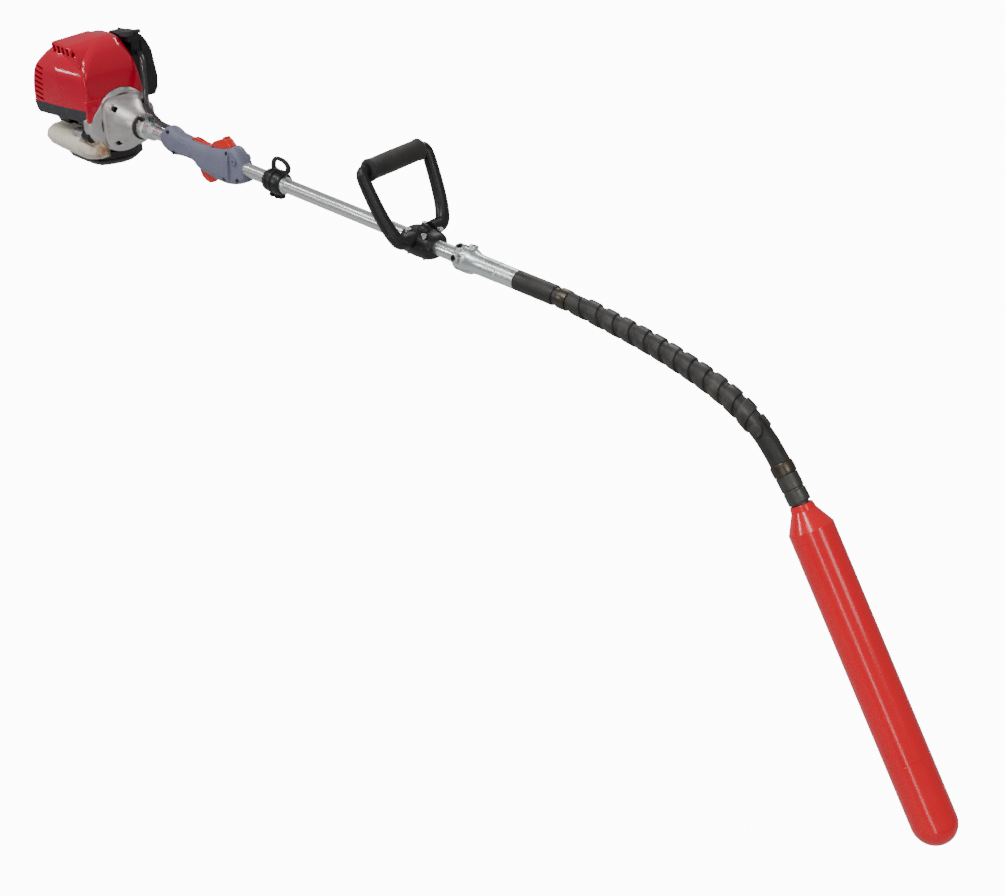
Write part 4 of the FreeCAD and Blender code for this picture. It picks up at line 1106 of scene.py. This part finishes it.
def band_ring(points, start, end, radius):
    """A plain ring round the hose."""
    where = walk(points)
    rings = []
    for share, reach in ((0, 13), (0.02, radius - 0.6), (0.1, radius), (0.5, radius + 0.2), (0.9, radius),
                         (0.98, radius - 0.6), (1, 13)):
        spot, heading = where(start + share * (end - start))
        side, up = across_hose(heading)
        rings.append([spot + reach * (math.cos(math.radians(a)) * up + math.sin(math.radians(a)) * side)
                      for a in range(0, 360, 6)])
    return solid(rings)


band = piece("hose_band", spiral_band(hose_line, 24, 430, 12, 24, 13.0, 16.0), "frame", "band_rubber",
             ["hose_guard"])
first_ring = piece("hose_first_ring", band_ring(hose_line, 8, 26, 15.3), "frame", "ferrule")
last_ring = piece("hose_last_ring", band_ring(hose_line, 466, 481.5, 15.0), "frame", "ferrule")


def band_tab(points, run, angle):
    """The band's loose round end, standing a little off the hose."""
    spot, heading = walk(points)(run)
    side, up = across_hose(heading)
    outward = math.cos(angle) * up + math.sin(angle) * side
    disc = rod_mesh(spot + outward * 10, spot + outward * 16.6, 8.5, 40)
    return bevelled(disc, 0.8, 2)


tab = piece("hose_band_tab", band_tab(hose_line, 419, math.radians(62)), "frame", "band_rubber", smooth=40)


# -------------------------------------------- stage, light and camera

def area_light(name, spot, aim, size, power, along=(1, 0, 0)):
    """A rectangle of light facing a point, with its long side in a given direction."""
    light = bpy.data.lights.new(name, "AREA")
    light.shape = "RECTANGLE"
    light.size, light.size_y = size
    light.energy = power
    item = new_object(name, light)
    back = (Vector(spot) - Vector(aim)).normalized()
    down = Vector(along).cross(back).normalized()
    turn = Matrix((down.cross(back) * -1, down * -1, back)).transposed().to_4x4()
    item.matrix_world = Matrix.Translation(spot) @ turn


FLOOR_DROP = 0.3
FLOOR_REACH = 300
FLOOR_GLOW_HIDDEN, FLOOR_GLOW_SEEN = 0.05, 12
SKY_STRENGTH = 0.3


def studio():
    """A floor far below the object, white to the eye but dim in reflections, a sky and soft lights."""
    floor_z = cad_low.z - FLOOR_DROP
    corners = [(-FLOOR_REACH, -FLOOR_REACH), (FLOOR_REACH, -FLOOR_REACH),
               (FLOOR_REACH, FLOOR_REACH), (-FLOOR_REACH, FLOOR_REACH)]
    floor_mesh = bpy.data.meshes.new("floor")
    floor_mesh.from_pydata([(x, y, floor_z) for x, y in corners], [], [(0, 1, 2, 3)])
    floor = new_object("floor", floor_mesh)
    pale = Recipe("pale_floor", (0.5, 0.5, 0.5), 0.9, Emission_Color=(1, 1, 1, 1))
    seen = pale.nodes.new("ShaderNodeLightPath").outputs["Is Camera Ray"]
    glow = pale.ramp(seen, 0, 1, FLOOR_GLOW_HIDDEN, FLOOR_GLOW_SEEN)
    pale.links.new(glow, pale.shader.inputs["Emission Strength"])
    floor_mesh.materials.append(pale.material)

    world = bpy.data.worlds.new("studio")
    world.use_nodes = True
    sky = world.node_tree.nodes["Background"].inputs
    sky["Color"].default_value = (1, 1, 1, 1)
    sky["Strength"].default_value = SKY_STRENGTH
    bpy.context.scene.world = world

    middle = (0.3, 0, 0)
    area_light("key", (0.2, -1.6, 2.4), middle, (1.4, 0.25), 27)
    area_light("fill", (2.6, -0.6, 1.4), middle, (0.5, 1.6), 12, along=(0, 1, 0))
    area_light("rim", (-0.8, 2.2, 1.8), middle, (1.6, 0.3), 22)
    area_light("near_side", (-1.5, -2.2, 0.9), (-0.5, 0, 0), (0.5, 0.2), 11)
    area_light("pole_streak", (-1.2, -0.9, 2.1), (0.1, 0, 0), (2.6, 0.08), 19)
    area_light("head_streak", (2.36, -2.35, 0.13), (1.21, -0.12, -0.29), (2.8, 0.3), 13, along=HEAD_DIRECTION)


def camera():
    data = bpy.data.cameras.new("camera")
    data.sensor_fit = "HORIZONTAL"
    data.sensor_width = 36
    data.lens = 46.567
    data.clip_start, data.clip_end = 0.05, 100
    item = new_object("camera", data)
    right = Vector((0.744084, 0.667522, 0.027453))
    up = Vector((-0.377659, 0.386367, 0.841483))
    back = Vector((0.551102, -0.636502, 0.539585))
    turn = Matrix((right, up, back)).transposed().to_4x4()
    item.matrix_world = Matrix.Translation(at(2019.83, -1334.6, 827.7)) @ turn
    bpy.context.scene.camera = item


studio()
camera()
